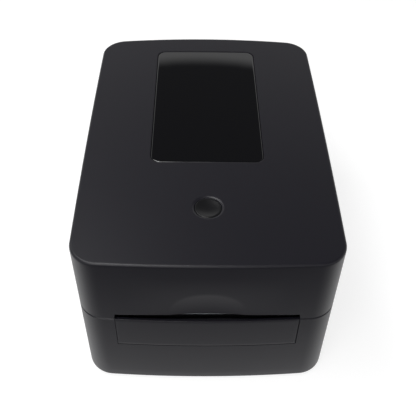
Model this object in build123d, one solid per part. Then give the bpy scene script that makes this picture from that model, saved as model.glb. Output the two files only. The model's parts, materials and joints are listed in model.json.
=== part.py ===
from build123d import *
from math import acos, atan2, ceil, cos, degrees, hypot, pi, radians, sin, sqrt, tan
import os

# Desktop thermal label printer: a clamshell with a hinged top cover over a roll bay.
# Millimetres. X is across the printer, the front faces -Y and Z is up. The origin is
# under the middle of the overall size, on the surface that the feet stand on.

# ---- Casing ----------------------------------------------------------------------
WIDTH = 200.0             # over the sides
SHELL_DEPTH = 292.0       # front to rear of the casing, without the hinge knuckles
HEIGHT = 150.0            # from the table to the crown of the cover
FOOT_HEIGHT = 2.5         # how far the feet lift the casing
SEAM_Z = 84.7             # height of the split between base and cover
SEAM_GAP = 0.8
CORNER_RADIUS = 21.8      # vertical corners
FRONT_BOW = 4.6           # how far the front and rear faces bulge
SIDE_BOW = 1.1            # how far the sides bulge
CROWN = 1.7               # fall of the roof from its middle to its sides
WALL = 2.5                # moulded wall
ROOF_EDGE = 1.3           # bevel round the roof
BASE_EDGE = 1.8           # bevel round the underside
SEAM_CHAMFER = 0.9
FIT_GAP = 0.3             # between a moulded piece and the opening that it fills
SHAFT_CLEARANCE = 0.05    # on the radius of every turning shaft
FOOT_RADIUS = 8.0
FOOT_SINK = 1.0           # depth of the pocket that a foot is glued in
FOOT_INSET = (22.0, 26.0) # from the sides and from the ends to the middle of a foot

# ---- Front of the casing -----------------------------------------------------------
PANEL_WIDTH = 141.0       # snap-in blank below the label slot
PANEL_HEIGHT = 33.4
PANEL_THICKNESS = 1.6
SLOT_HEIGHT = 5.2         # from the seam up to the lip of the cover
SCOOP_WIDTH = 128.0       # shallow finger scoop above the slot
SCOOP_HEIGHT = 28.0
SCOOP_HOLLOW = 0.7        # of the lip, behind the straight line between the scoop's ends

# ---- Top of the cover --------------------------------------------------------------
WINDOW_WIDTH = 92.0
WINDOW_LENGTH = 160.5
WINDOW_REAR_MARGIN = 23.7
WINDOW_RADIUS = 8.0
WINDOW_THICKNESS = 1.6
WINDOW_LEDGE = 3.5
BUTTON_FRONT_MARGIN = 57.2
BUTTON_RADIUS = 10.2
BUTTON_RECESS_WIDTH = 1.9   # sloped ring round the button
BUTTON_FLANGE = 1.6         # how far the button reaches under the roof
BUTTON_SINK = 0.5           # how far its rim lies below the crown
BUTTON_TRAVEL = 1.2
BUTTON_DISH = 0.9

# ---- Hinge -------------------------------------------------------------------------
HINGE_RADIUS = 3.0        # knuckles, whose axis lies on the rear face
HINGE_PIN_RADIUS = 1.5
HINGE_X = 60.0
HINGE_MIDDLE = 12.0       # length of the cover's knuckle
HINGE_SIDE = 7.0          # length of each base knuckle
KNUCKLE_CLEARANCE = 0.4   # between a knuckle and the wall that it swings past

# ---- Print mechanism ---------------------------------------------------------------
MEDIA_WIDTH = 112.0
PLATEN_RADIUS = 8.0
PLATEN_FRONT_MARGIN = 28.5
PLATEN_DROP = 4.0         # platen axis below the seam
SHAFT_RADIUS = 3.0
BUSH_RADIUS = 5.0
HEAD_GAP = 0.3            # between the print head and the platen
MODULE = 1.25
PRESSURE_ANGLE = radians(25)
BACKLASH = 0.2
GEAR_WIDTH = 5.0
PIN_RADIUS = 2.5          # fixed pins and the motor's shaft
PLATEN_TEETH, SMALL_TEETH, BIG_TEETH, PINION_TEETH, TAKEUP_TEETH = 20, 14, 32, 12, 32

# ---- Roll bay ----------------------------------------------------------------------
BAY_WIDTH = 126.0
BAY_FLOOR_Z = 18.0
BAY_WALL = 2.0
BAY_FRONT_OFFSET = 96.0   # from the platen to the front of the bay
BAY_REAR_MARGIN = 32.5
HUB_RADIUS = 12.0         # carries the core of a label roll
HOLDER_TRAVEL = 44.0
HOLDER_THICKNESS = 3.0
RACK_PINION_TEETH = 14     # even, so that both racks mesh alike
RACK_PINION_Z = (8.0, 13.5)
PINION_SEAT_RADIUS = 5.0
RACK_RAIL = 2.0           # rib that a rack slides on
BOARD_POST = 7.0          # square pillar under each corner of the main board
DECK_DROP = (9.0, 7.0)    # underside and top of the chassis deck below the seam
BAY_ROUND = 26.0          # radius along the bottom of the bay
FANFOLD_LOW, FANFOLD_HIGH = 58.0, 66.0
MEDIA_MARGIN = 3.0        # from the labels to the side of what they pass through

# ---- Boards and rear sockets ------------------------------------------------------------
BOARD_Z = 11.0            # underside of the main board
BOARD_THICKNESS = 1.6
BUTTON_BOARD_DROP = 13.0  # underside of the button's board below the crown
SOCKET_Z = 30.0
SOCKET_SINK = 1.6         # how far a socket's face lies inside the rear face
IO_BOARD_MARGIN = 22.0
DC_X, DC_SIZE = 34.0, (9.4, 11.0)
USB_X, USB_SIZE = 4.0, (12.0, 11.0)
SWITCH_X, SWITCH_SIZE = -66.0, (21.0, 15.0)
SWITCH_FLANGE = 1.5
ROCKER_TILT = 8.0
ROCKER_PIVOT = 1.2

# ---- Places that follow from the sizes ---------------------------------------------
FRONT, REAR = -SHELL_DEPTH / 2, SHELL_DEPTH / 2
ORIGIN_SHIFT = -HINGE_RADIUS / 2
FLOOR_TOP = FOOT_HEIGHT + WALL
BASE_TOP = SEAM_Z - SEAM_GAP / 2
COVER_BOTTOM = SEAM_Z + SEAM_GAP / 2
ROOF_UNDER = HEIGHT - CROWN - WALL - 0.6
PLATEN = (FRONT + PLATEN_FRONT_MARGIN, SEAM_Z - PLATEN_DROP)
REDUCTION_REACH = MODULE * (PLATEN_TEETH + SMALL_TEETH) / 2
MOTOR_REACH = MODULE * (BIG_TEETH + PINION_TEETH) / 2
REDUCTION = (PLATEN[0] + 12.0, PLATEN[1] - sqrt(REDUCTION_REACH**2 - 12.0**2))
MOTOR = (REDUCTION[0] + 20.0, REDUCTION[1] - sqrt(MOTOR_REACH**2 - 20.0**2))
TAKEUP = (PLATEN[0] + 24.0, PLATEN[1] + 41.5)
SUPPLY = (PLATEN[0] + 64.0, PLATEN[1] + 29.0)
HEAD_PIVOT = (PLATEN[0] + 24.0, PLATEN[1] + 15.5)
LATCH = (PLATEN[0] - 8.0, PLATEN[1] + 25.0)
BAY_FRONT = PLATEN[0] + BAY_FRONT_OFFSET
BAY_REAR = REAR - BAY_REAR_MARGIN
BAY_Y = (BAY_FRONT + BAY_REAR) / 2
ROLL_Z = SEAM_Z - 5.0
BUTTON_Y = FRONT + BUTTON_FRONT_MARGIN
BUTTON_BOARD_Z = HEIGHT - BUTTON_BOARD_DROP
SWITCH_TOP = BUTTON_BOARD_Z + BOARD_THICKNESS + 3.5
PANEL_LOW = BASE_TOP - PANEL_HEIGHT
DECK_Z = tuple(BASE_TOP - drop for drop in DECK_DROP)
IO_Y = REAR - IO_BOARD_MARGIN
FOOT_X, FOOT_Y = WIDTH / 2 - FOOT_INSET[0], SHELL_DEPTH / 2 - FOOT_INSET[1]
FEET = [(x, y) for x in (-FOOT_X, FOOT_X) for y in (-FOOT_Y, FOOT_Y)]
BOARD_POSTS = [(x, PLATEN[0] + y) for x in (-54, 54) for y in (-8, 78)]
HOLDER_X = BAY_WIDTH / 2 - 3.0      # outer face of each roll holder at rest
RACK_PITCH_Y = MODULE * RACK_PINION_TEETH / 2
RACK_FOOT_Y = RACK_PITCH_Y + 3.5    # the holders' feet lie this far from the pinion
LEVEL_A = -76.0           # outer side of the gears that mesh with the platen gear
LEVEL_B = -82.5           # outer side of the big reduction gear and the motor pinion
BASE_PLATE_X = 66.0       # inner face of each side plate in the base
COVER_PLATE_X = 62.0      # inner face of each side plate in the cover
PLATE = 2.0               # sheet steel


# ---- Shapes used by many pieces -----------------------------------------------------
def outline(inset):
    """The casing seen from above, drawn in by inset: four bowed sides, round corners."""
    half_x, half_y = WIDTH / 2 - inset, SHELL_DEPTH / 2 - inset
    end_x, end_y = half_x - SIDE_BOW, half_y - FRONT_BOW
    face = make_face([
        ThreePointArc((-end_x, -end_y), (0, -half_y), (end_x, -end_y)),
        ThreePointArc((end_x, -end_y), (half_x, 0), (end_x, end_y)),
        ThreePointArc((end_x, end_y), (0, half_y), (-end_x, end_y)),
        ThreePointArc((-end_x, end_y), (-half_x, 0), (-end_x, -end_y)),
    ])
    return fillet(face.vertices(), CORNER_RADIUS - inset)


def slab(inset, low, high):
    return extrude(Plane.XY.offset(low) * outline(inset), high - low)


def roof_form(drop):
    """A long drum whose top is the crown of the roof, lowered by drop."""
    radius = (WIDTH / 2) ** 2 / (2 * CROWN)
    return Pos(0, 0, HEIGHT - drop - radius) * Rot(90, 0, 0) * Cylinder(radius, 2 * SHELL_DEPTH)


def block(x, y, z):
    """A box from three (low, high) pairs."""
    size = [high - low for low, high in (x, y, z)]
    middle = [(high + low) / 2 for low, high in (x, y, z)]
    return Pos(*middle) * Box(*size)


def spread(middle, size, grow=0.0):
    """The (low, high) pair of a size about its middle, grown at both ends."""
    return (middle - size / 2 - grow, middle + size / 2 + grow)


def beside(side, near, far):
    """The (low, high) pair from near to far on one side of the middle plane."""
    return tuple(sorted((side * near, side * far)))


def post(x, y, low, high, radius):
    """An upright round bar."""
    return Pos(x, y, (low + high) / 2) * Cylinder(radius, high - low)


def rod(at, radius, x_low, x_high):
    """A round bar along X through the point at, given as (y, z)."""
    return Pos((x_low + x_high) / 2, *at) * Rot(0, 90, 0) * Cylinder(radius, x_high - x_low)


def tube(at, radius, bore, x_low, x_high):
    return rod(at, radius, x_low, x_high) - rod(at, bore, x_low - 1, x_high + 1)


def profile(points, x_low, x_high, radius=0):
    """A plate across X with a polygon of (y, z) points, its corners rounded by radius."""
    face = make_face(Polyline(*points, close=True))
    if radius:
        face = fillet(face.vertices(), radius)
    return extrude(Plane.YZ.offset(x_low) * face, x_high - x_low)


def pitch_radius(teeth):
    return MODULE * teeth / 2


def gear_face(teeth):
    """Involute gear with three points on each flank and a tooth centred on the first axis."""
    pitch = pitch_radius(teeth)
    base, tip, root = pitch * cos(PRESSURE_ANGLE), pitch + 0.9 * MODULE, pitch - 1.2 * MODULE

    def half_angle(radius):
        turn = acos(min(1.0, base / max(radius, base)))
        flank = tan(turn) - turn - tan(PRESSURE_ANGLE) + PRESSURE_ANGLE
        return (pi * MODULE - BACKLASH) / 4 / pitch - flank

    points = []
    for tooth in range(teeth):
        middle = 2 * pi * tooth / teeth
        for side, radii in ((-1, (root, pitch, tip)), (1, (tip, pitch, root))):
            for radius in radii:
                angle = middle + side * half_angle(radius)
                points.append((radius * cos(angle), radius * sin(angle)))
    return make_face(Polyline(*points, close=True))


def gear(teeth, at, phase, x_low, x_high):
    """A spur gear on an axis along X, phase being the angle of one tooth in radians."""
    face = Pos(*at) * Rot(0, 0, degrees(phase)) * gear_face(teeth)
    return extrude(Plane.YZ.offset(x_low) * face, x_high - x_low)


def bearing(start, end):
    return atan2(end[1] - start[1], end[0] - start[0])


def mesh_phase(teeth, at, phase, mate_teeth, mate_at):
    """The phase of a mate whose gap lies on the first gear's tooth."""
    toward = bearing(at, mate_at)
    return toward + pi - (phase - toward) * teeth / mate_teeth + pi / mate_teeth


def meet(first, first_reach, second, second_reach):
    """The point, towards the front, at two given distances from two points."""
    span = hypot(second[0] - first[0], second[1] - first[1])
    along = (first_reach**2 - second_reach**2 + span**2) / (2 * span)
    aside = sqrt(first_reach**2 - along**2)
    uy, uz = (second[0] - first[0]) / span, (second[1] - first[1]) / span
    return (first[0] + along * uy - aside * uz, first[1] + along * uz + aside * uy)


def save(name, *shapes):
    """Writes one sub-part, moved so that the origin is under the overall size."""
    solids = [solid for shape in shapes for solid in shape.solids()]
    whole = solids[0] if len(solids) == 1 else Compound(children=solids)
    export_step(Pos(0, ORIGIN_SHIFT, 0) * whole, f"parts/{name}.step")


# ---- Base ----------------------------------------------------------------------------
def knuckle(x_low, x_high, down):
    """One hinge knuckle on its web: down for the base, up for the cover."""
    sign = -1 if down else 1
    axis = (REAR, SEAM_Z)
    inner = REAR - FRONT_BOW
    web = profile([
        (inner, SEAM_Z), (REAR + HINGE_RADIUS, SEAM_Z),
        (REAR + HINGE_RADIUS, SEAM_Z + sign * 3), (inner, SEAM_Z + sign * 11),
    ], x_low, x_high)
    bore = HINGE_PIN_RADIUS + (0 if down else SHAFT_CLEARANCE)
    return web + rod(axis, HINGE_RADIUS, x_low, x_high) - rod(axis, bore, x_low - 1, x_high + 1)


def hinge_spans(side):
    """X spans of the cover's knuckle and of the base's two at one side."""
    middle = side * HINGE_X
    half = HINGE_MIDDLE / 2
    outer = half + FIT_GAP + HINGE_SIDE
    base = [(middle - outer, middle - half - FIT_GAP), (middle + half + FIT_GAP, middle + outer)]
    return (middle - half, middle + half), base


def rear_opening(x, wide, z, tall):
    """What is cut from the rear wall for an opening about x and z."""
    return block(spread(x, wide), (REAR - 12, REAR + 1), spread(z, tall))


def base_housing():
    shell = slab(0, FOOT_HEIGHT, BASE_TOP)
    bottom = shell.faces().sort_by(Axis.Z)[0]
    shell = chamfer(bottom.edges(), BASE_EDGE)
    shell = chamfer(shell.faces().sort_by(Axis.Z)[-1].edges(), SEAM_CHAMFER)
    cavity = slab(WALL, FLOOR_TOP, BASE_TOP + 1)
    shell -= cavity
    half = PANEL_WIDTH / 2
    pocket = block((-half, half), (FRONT - 1, FRONT + 12), (PANEL_LOW, BASE_TOP + 1))
    shell -= pocket - slab(PANEL_THICKNESS + 0.2, 0, HEIGHT)
    shell -= block((-half + 9, half - 9), (FRONT - 1, FRONT + 12), (PANEL_LOW + 6, BASE_TOP + 1))
    fanfold = (FANFOLD_LOW + FANFOLD_HIGH) / 2
    shell -= rear_opening(0, MEDIA_WIDTH + 2 * MEDIA_MARGIN, fanfold, FANFOLD_HIGH - FANFOLD_LOW)
    shell -= rear_opening(SWITCH_X, SWITCH_SIZE[0], SOCKET_Z, SWITCH_SIZE[1])
    for x, (wide, tall) in ((DC_X, DC_SIZE), (USB_X, USB_SIZE)):
        shell -= rear_opening(x, wide + 2 * FIT_GAP, SOCKET_Z, tall + 2 * FIT_GAP)
    axis = (REAR, SEAM_Z)
    for side in (-1, 1):
        (low, high), base_spans = hinge_spans(side)
        for span in base_spans:
            shell += knuckle(*span, True) - cavity
        shell -= rod(axis, HINGE_RADIUS + KNUCKLE_CLEARANCE, low - FIT_GAP, high + FIT_GAP)
        shell -= rod(axis, HINGE_PIN_RADIUS, base_spans[0][0] - 1, base_spans[1][1] + 1)
    for x, y in FEET:
        shell -= post(x, y, FOOT_HEIGHT - 1, FOOT_HEIGHT + FOOT_SINK, FOOT_RADIUS)
    for x, y in BOARD_POSTS:
        shell += block(spread(x, BOARD_POST), spread(y, BOARD_POST), (FLOOR_TOP, BOARD_Z))
    rack_seat = RACK_PINION_Z[0] - FIT_GAP
    shell += post(0, BAY_Y, FLOOR_TOP, rack_seat, PINION_SEAT_RADIUS)
    shell += post(0, BAY_Y, FLOOR_TOP, RACK_PINION_Z[1] + 1, PIN_RADIUS)
    for side in (-1, 1):
        y = BAY_Y + side * (RACK_PITCH_Y + 4)
        shell += block(spread(0, BAY_WIDTH), spread(y, RACK_RAIL), (FLOOR_TOP, rack_seat))
    return shell


def front_panel():
    half = PANEL_WIDTH / 2 - FIT_GAP
    plate = slab(0, PANEL_LOW + FIT_GAP, BASE_TOP) - slab(PANEL_THICKNESS, 0, HEIGHT)
    plate &= block((-half, half), (FRONT - 1, FRONT + 12), (PANEL_LOW + FIT_GAP, BASE_TOP))
    plate = plate.solids().sort_by(Axis.Y)[0]
    for x in (-44, 0, 44):
        plate += block((x - 4, x + 4), (FRONT + 1.2, FRONT + 4.2), (PANEL_LOW + 14, PANEL_LOW + 16))
    return plate


def feet():
    return [post(x, y, 0, FOOT_HEIGHT + FOOT_SINK, FOOT_RADIUS - FIT_GAP) for x, y in FEET]


# ---- Media chassis in the base ---------------------------------------------------------
def media_chassis():
    """The inner moulding: a deck with the roll bay sunk in it and an opening for the drive."""
    deck = slab(WALL + FIT_GAP, *DECK_Z)
    deck -= block((-85, 85), (FRONT + 8, PLATEN[0] + 36), (0, HEIGHT))
    outer = block(spread(0, BAY_WIDTH, BAY_WALL), (BAY_FRONT - BAY_WALL, BAY_REAR + BAY_WALL),
                  (BAY_FLOOR_Z - BAY_WALL, DECK_Z[1]))
    inner = block(spread(0, BAY_WIDTH), (BAY_FRONT, BAY_REAR), (BAY_FLOOR_Z, HEIGHT))
    outer = fillet(outer.edges().filter_by(Axis.X).group_by(Axis.Z)[0], BAY_ROUND + BAY_WALL)
    inner = fillet(inner.edges().filter_by(Axis.X).group_by(Axis.Z)[0], BAY_ROUND)
    chassis = deck + outer - inner
    fanfold = spread(0, MEDIA_WIDTH, MEDIA_MARGIN)
    chassis -= block(fanfold, (BAY_REAR - 1, REAR - 8), (FANFOLD_LOW, FANFOLD_HIGH))
    for side in (-1, 1):
        x_span = beside(side, HOLDER_X + 6, HOLDER_X - HOLDER_TRAVEL - 8)
        chassis -= block(x_span, spread(BAY_Y + side * RACK_FOOT_Y, 5.2), (0, BAY_FLOOR_Z + 1))
    return chassis


def paper_deck():
    half = MEDIA_WIDTH / 2 + 2
    y, z = PLATEN
    return profile([
        (y + 16, DECK_Z[0] + 1), (y + 16, z + 5.5), (y + 20, z + 6.5), (y + 56, z + 5),
        (y + 92, DECK_Z[1] + 3), (y + 92, DECK_Z[1] + 0.2),
        (y + 35.6, DECK_Z[1] + 0.2), (y + 35.6, DECK_Z[0] + 1),
    ], -half, half)


def side_plate(side):
    """Steel plate that carries the platen, with a flange turned out along the floor."""
    y, z = PLATEN
    x_low, x_high = beside(side, BASE_PLATE_X, BASE_PLATE_X + PLATE)
    low = FLOOR_TOP
    plate = profile([
        (y - 14, low), (y - 14, z - 6), (y - 9, z + 8), (y + 9, z + 8),
        (y + 15, z - 4), (y + 35, z - 14), (y + 35, low),
    ], x_low, x_high)
    plate -= rod(PLATEN, BUSH_RADIUS, x_low - 1, x_high + 1)
    flange = beside(side, BASE_PLATE_X + PLATE / 2, BASE_PLATE_X + 12)
    plate += block(flange, (y - 12, y + 33), (low, low + PLATE))
    if side < 0:
        plate -= rod(MOTOR, 11.2, x_low - 1, x_high + 1)
    return plate


def platen_bush(side):
    x_low, x_high = beside(side, COVER_PLATE_X - 4.5, BASE_PLATE_X + PLATE + 0.8)
    return tube(PLATEN, BUSH_RADIUS, SHAFT_RADIUS + SHAFT_CLEARANCE, x_low, x_high)


def tear_bar():
    """Steel strip in front of the platen with a serrated top edge."""
    y, z = PLATEN
    half, pitch = MEDIA_WIDTH / 2, 4.0
    count = int(2 * half / pitch)
    points = [(-half, z - 8)]
    for tooth in range(count):
        x = -half + tooth * pitch
        points += [(x, z + 7.4), (x + pitch / 2, z + 8.6)]
    points += [(half, z + 7.4), (half, z - 8)]
    strip = extrude(Plane.XZ.offset(-(y - 13.0)) * make_face(Polyline(*points, close=True)), 1.0)
    return strip + block((-half - 1.5, half + 1.5), (y - 14.5, y - 13), (z - 14, z - 6))


def main_board():
    (x_low, y_low), (x_high, y_high) = BOARD_POSTS[0], BOARD_POSTS[-1]
    return block((x_low - 6, x_high + 6), (y_low - 6, y_high + 6), (BOARD_Z, BOARD_Z + BOARD_THICKNESS))


def board_parts():
    """Component cases on the main board: (x, y, width, depth, height) from the platen's line."""
    y, top = PLATEN[0], BOARD_Z + BOARD_THICKNESS
    cases = [
        (0, 30, 14, 14, 1.6), (24, 30, 10, 16, 1.2), (-30, 8, 12, 8, 3),
        (34, 62, 16, 10, 8), (-4, 62, 22, 6, 7),
    ]
    pieces = [
        block(spread(x, wide), spread(y + along, deep), (top, top + tall))
        for x, along, wide, deep, tall in cases
    ]
    return pieces + [post(x, y + 60, top, top + 11, 4) for x in (-44, -33, -22)]


# ---- Drive train in the base ----------------------------------------------------------------
PLATEN_PHASE = 0.0
REDUCTION_PHASE = mesh_phase(PLATEN_TEETH, PLATEN, PLATEN_PHASE, SMALL_TEETH, REDUCTION)
MOTOR_PHASE = mesh_phase(BIG_TEETH, REDUCTION, 0.0, PINION_TEETH, MOTOR)
TAKEUP_SPAN = hypot(TAKEUP[0] - PLATEN[0], TAKEUP[1] - PLATEN[1])
IDLER_TEETH = ceil((TAKEUP_SPAN - pitch_radius(PLATEN_TEETH) - pitch_radius(TAKEUP_TEETH)) / MODULE) + 1
IDLER = meet(PLATEN, pitch_radius(PLATEN_TEETH + IDLER_TEETH),
             TAKEUP, pitch_radius(IDLER_TEETH + TAKEUP_TEETH))
IDLER_PHASE = mesh_phase(PLATEN_TEETH, PLATEN, PLATEN_PHASE, IDLER_TEETH, IDLER)
TAKEUP_PHASE = mesh_phase(IDLER_TEETH, IDLER, IDLER_PHASE, TAKEUP_TEETH, TAKEUP)


def stepper_motor():
    half = 21.0
    y, z = MOTOR
    body = block((-BASE_PLATE_X, -BASE_PLATE_X + 38), (y - half, y + half), (z - half, z + half))
    body = chamfer(body.edges().filter_by(Axis.X), 4)
    body += rod(MOTOR, 11, -BASE_PLATE_X - PLATE, -BASE_PLATE_X + 1)
    return body - rod(MOTOR, PIN_RADIUS + SHAFT_CLEARANCE, -BASE_PLATE_X - 5, -BASE_PLATE_X + 20)


def reduction_gear():
    body = gear(SMALL_TEETH, REDUCTION, REDUCTION_PHASE, LEVEL_A - 1.6, LEVEL_A + GEAR_WIDTH)
    body += gear(BIG_TEETH, REDUCTION, 0.0, LEVEL_B, LEVEL_B + GEAR_WIDTH)
    return body - rod(REDUCTION, PIN_RADIUS + SHAFT_CLEARANCE, LEVEL_B - 1, 0)


# ---- Cover --------------------------------------------------------------------------------
WINDOW_Y = (REAR - WINDOW_REAR_MARGIN - WINDOW_LENGTH, REAR - WINDOW_REAR_MARGIN)


def window_prism(inset, low, high):
    """An upright block with the window's rounded outline, drawn in by inset."""
    face = RectangleRounded(WINDOW_WIDTH - 2 * inset, WINDOW_LENGTH - 2 * inset, WINDOW_RADIUS - inset)
    return extrude(Plane.XY.offset(low) * Pos(0, sum(WINDOW_Y) / 2) * face, high - low)


def scoop(grow):
    """The finger scoop above the slot: the outside of a large ring pressed into the front face."""
    depth = SCOOP_HOLLOW + FRONT_BOW * (SCOOP_WIDTH / WIDTH) ** 2
    across = SCOOP_WIDTH**2 / (8 * SCOOP_HOLLOW)
    upright = SCOOP_HEIGHT**2 / (2 * depth)
    ring = Torus(across - upright, upright + grow)
    return Pos(0, FRONT + depth - across, COVER_BOTTOM + SLOT_HEIGHT) * ring


def top_cover():
    shell = slab(0, COVER_BOTTOM, HEIGHT + 1) & roof_form(0)
    shell = chamfer(shell.faces().sort_by(Axis.Z)[-1].edges(), ROOF_EDGE)
    shell = chamfer(shell.faces().sort_by(Axis.Z)[0].edges(), SEAM_CHAMFER / 2)
    shell -= scoop(0)
    shell -= (slab(WALL, SEAM_Z - 5, HEIGHT) & roof_form(WALL)) - scoop(WALL)
    half = PANEL_WIDTH / 2 - 1.5
    lip = COVER_BOTTOM + SLOT_HEIGHT
    shell -= block((-half, half), (FRONT - 8, FRONT + 12), (SEAM_Z - 3, lip))
    shell -= window_prism(0, HEIGHT - CROWN - WINDOW_THICKNESS, HEIGHT + 1) - roof_form(WINDOW_THICKNESS)
    shell -= window_prism(WINDOW_LEDGE, HEIGHT - 12, HEIGHT + 1)
    bore = BUTTON_RADIUS + FIT_GAP
    shell -= post(0, BUTTON_Y, HEIGHT - 12, HEIGHT + 2, bore)
    shell -= Pos(0, BUTTON_Y, HEIGHT - 0.5) * Cone(bore, BUTTON_RADIUS + BUTTON_RECESS_WIDTH, 1.0)
    axis = (REAR, SEAM_Z)
    for side in (-1, 1):
        cover_span, base_spans = hinge_spans(side)
        for low, high in base_spans:
            shell -= rod(axis, HINGE_RADIUS + KNUCKLE_CLEARANCE, low - FIT_GAP, high + FIT_GAP)
        shell += knuckle(*cover_span, False) - slab(WALL, 0, HEIGHT) - slab(0, 0, COVER_BOTTOM)
        pin = HINGE_PIN_RADIUS + SHAFT_CLEARANCE
        shell -= rod(axis, pin, base_spans[0][0] - 1, base_spans[1][1] + 1)
    return shell


def cover_window():
    lens = window_prism(0.2, HEIGHT - 6, HEIGHT + 1) & roof_form(0.1)
    return lens - roof_form(WINDOW_THICKNESS)


def feed_button():
    """Dished disc with a retaining flange under the roof and a stem to the switch."""
    top = HEIGHT - BUTTON_SINK
    flange_top = HEIGHT - WALL - 0.5
    flange_low = flange_top - 1.6
    stem_low = SWITCH_TOP + BUTTON_TRAVEL + 0.2
    disc = post(0, BUTTON_Y, flange_low, top, BUTTON_RADIUS)
    disc = chamfer(disc.faces().sort_by(Axis.Z)[-1].edges(), 0.6)
    disc += post(0, BUTTON_Y, flange_low, flange_top, BUTTON_RADIUS + BUTTON_FLANGE)
    disc += post(0, BUTTON_Y, stem_low, flange_low, 2)
    dish = Cone(2, BUTTON_RADIUS - 1, BUTTON_DISH)
    return disc - Pos(0, BUTTON_Y, top - BUTTON_DISH / 2) * dish


def button_board():
    """The button's small board and its switch."""
    top = BUTTON_BOARD_Z + BOARD_THICKNESS
    board = block((-24, 24), spread(BUTTON_Y, 22), (BUTTON_BOARD_Z, top))
    return board + block((-3, 3), spread(BUTTON_Y, 6), (top - 0.5, SWITCH_TOP))


def ribbon_frame():
    """Two side plates and two cross bars that hang under the roof and hold the ribbon and head."""
    y, z = PLATEN
    top = ROOF_UNDER
    frame = None
    for side in (-1, 1):
        x_low, x_high = beside(side, COVER_PLATE_X, COVER_PLATE_X + PLATE)
        plate = profile([
            (y - 17, z + 21), (y - 17, z + 36), (y + 6, top), (y + 80, top), (y + 80, z + 14),
            (y + 30, z + 10), (y + 8, z + 12),
        ], x_low, x_high)
        flange = beside(side, COVER_PLATE_X + PLATE / 2, COVER_PLATE_X + 8)
        plate += block(flange, (y + 12, y + 74), (top - PLATE, top))
        for at, radius in ((TAKEUP, 4), (SUPPLY, 4), (HEAD_PIVOT, 2), (LATCH, 2.5)):
            fit = 0 if at is HEAD_PIVOT else SHAFT_CLEARANCE
            plate -= rod(at, radius + fit, x_low - 1, x_high + 1)
        frame = plate if frame is None else frame + plate
    half = COVER_PLATE_X + 0.5
    frame += block((-half, half), (y - 15, y + 2), (z + 31, z + 33))
    frame += block((-half, half), (y + 52, y + 70), (top - PLATE, top))
    return frame


def print_head():
    y, z = PLATEN
    low = z + PLATEN_RADIUS + HEAD_GAP
    half = MEDIA_WIDTH / 2 - 2
    return profile([
        (y - 8, low + 1.2), (y - 3, low), (y + 4, low),
        (y + 9, low + 1.2), (y + 9, low + 3), (y - 8, low + 3),
    ], -half, half)


def heat_sink():
    y, z = PLATEN
    low = z + PLATEN_RADIUS + HEAD_GAP + 3
    half = MEDIA_WIDTH / 2 - 2
    body = block((-half, half), (y - 8, y + 12), (low, low + 7))
    for fin in range(4):
        body -= block((-half - 1, half + 1), (y - 6 + 4.5 * fin, y - 3.8 + 4.5 * fin), (low + 4, low + 8))
    return body


def head_bracket():
    y, z = PLATEN
    low = z + PLATEN_RADIUS + HEAD_GAP + 10
    half = MEDIA_WIDTH / 2 - 1
    body = block((-half, half), (y - 8, y + 30), (low, low + 1.5))
    for side in (-1, 1):
        x_low, x_high = beside(side, half, half - 2)
        ear = [(y + 16, low + 1), (y + 30, low + 1), (y + 29, z + 11), (y + 19, z + 11)]
        body += profile(ear, x_low, x_high, 2)
        body -= rod(HEAD_PIVOT, 2 + SHAFT_CLEARANCE, x_low - 1, x_high + 1)
    return body


def head_springs():
    y, z = PLATEN
    low, high = z + PLATEN_RADIUS + HEAD_GAP + 11.5, z + 31
    return [post(x, y - 2, low, high, 3) for x in (-30, 30)]


def ribbon_spindle(at, flange):
    """Shaft with four fins for a ribbon core and a flange at each end."""
    half = COVER_PLATE_X - 4
    body = rod(at, 4, -COVER_PLATE_X - PLATE - 0.5, COVER_PLATE_X + PLATE + 0.5)
    for turn in (0, 90):
        bar = Pos(0, *at) * Rot(turn + 20, 0, 0) * Box(2 * half, 12.4, 1.6)
        body += bar
    for side in (-1, 1):
        body += rod(at, flange, *beside(side, half, half + 2))
    return body


def latch_hook(side):
    """Hook that reaches down in front of the platen bush and under it."""
    y, z = PLATEN
    ly, lz = LATCH
    x_low, x_high = beside(side, COVER_PLATE_X - 4, COVER_PLATE_X - 1)
    hook = profile([
        (ly - 4, lz + 4), (ly + 4, lz + 4), (ly + 4, lz - 6), (y - 6.2, z + 5), (y - 6.2, z - 6),
        (y - 1, z - 6), (y - 3, z - 10), (y - 11, z - 10), (y - 11, z + 8),
    ], x_low, x_high)
    return hook - rod(LATCH, 2.5, x_low - 1, x_high + 1)


# ---- Roll holders -------------------------------------------------------------------------
def rack_face(x_low, x_high):
    """A rack with its pitch line on the first axis and its teeth pointing up."""
    pitch = pi * MODULE
    lean = tan(PRESSURE_ANGLE)
    half = (pitch - BACKLASH) / 4
    tip, root = 0.9 * MODULE, -1.2 * MODULE
    first, last = ceil(x_low / pitch + 0.5), int(x_high / pitch - 0.5)
    points = [(x_low, root - 4), (x_low, root)]
    for tooth in range(first, last + 1):
        middle = tooth * pitch
        points += [(middle - half + root * lean, root), (middle - half + tip * lean, tip),
                   (middle + half - tip * lean, tip), (middle + half - root * lean, root)]
    points += [(x_high, root), (x_high, root - 4)]
    return make_face(Polyline(*points, close=True))


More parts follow.
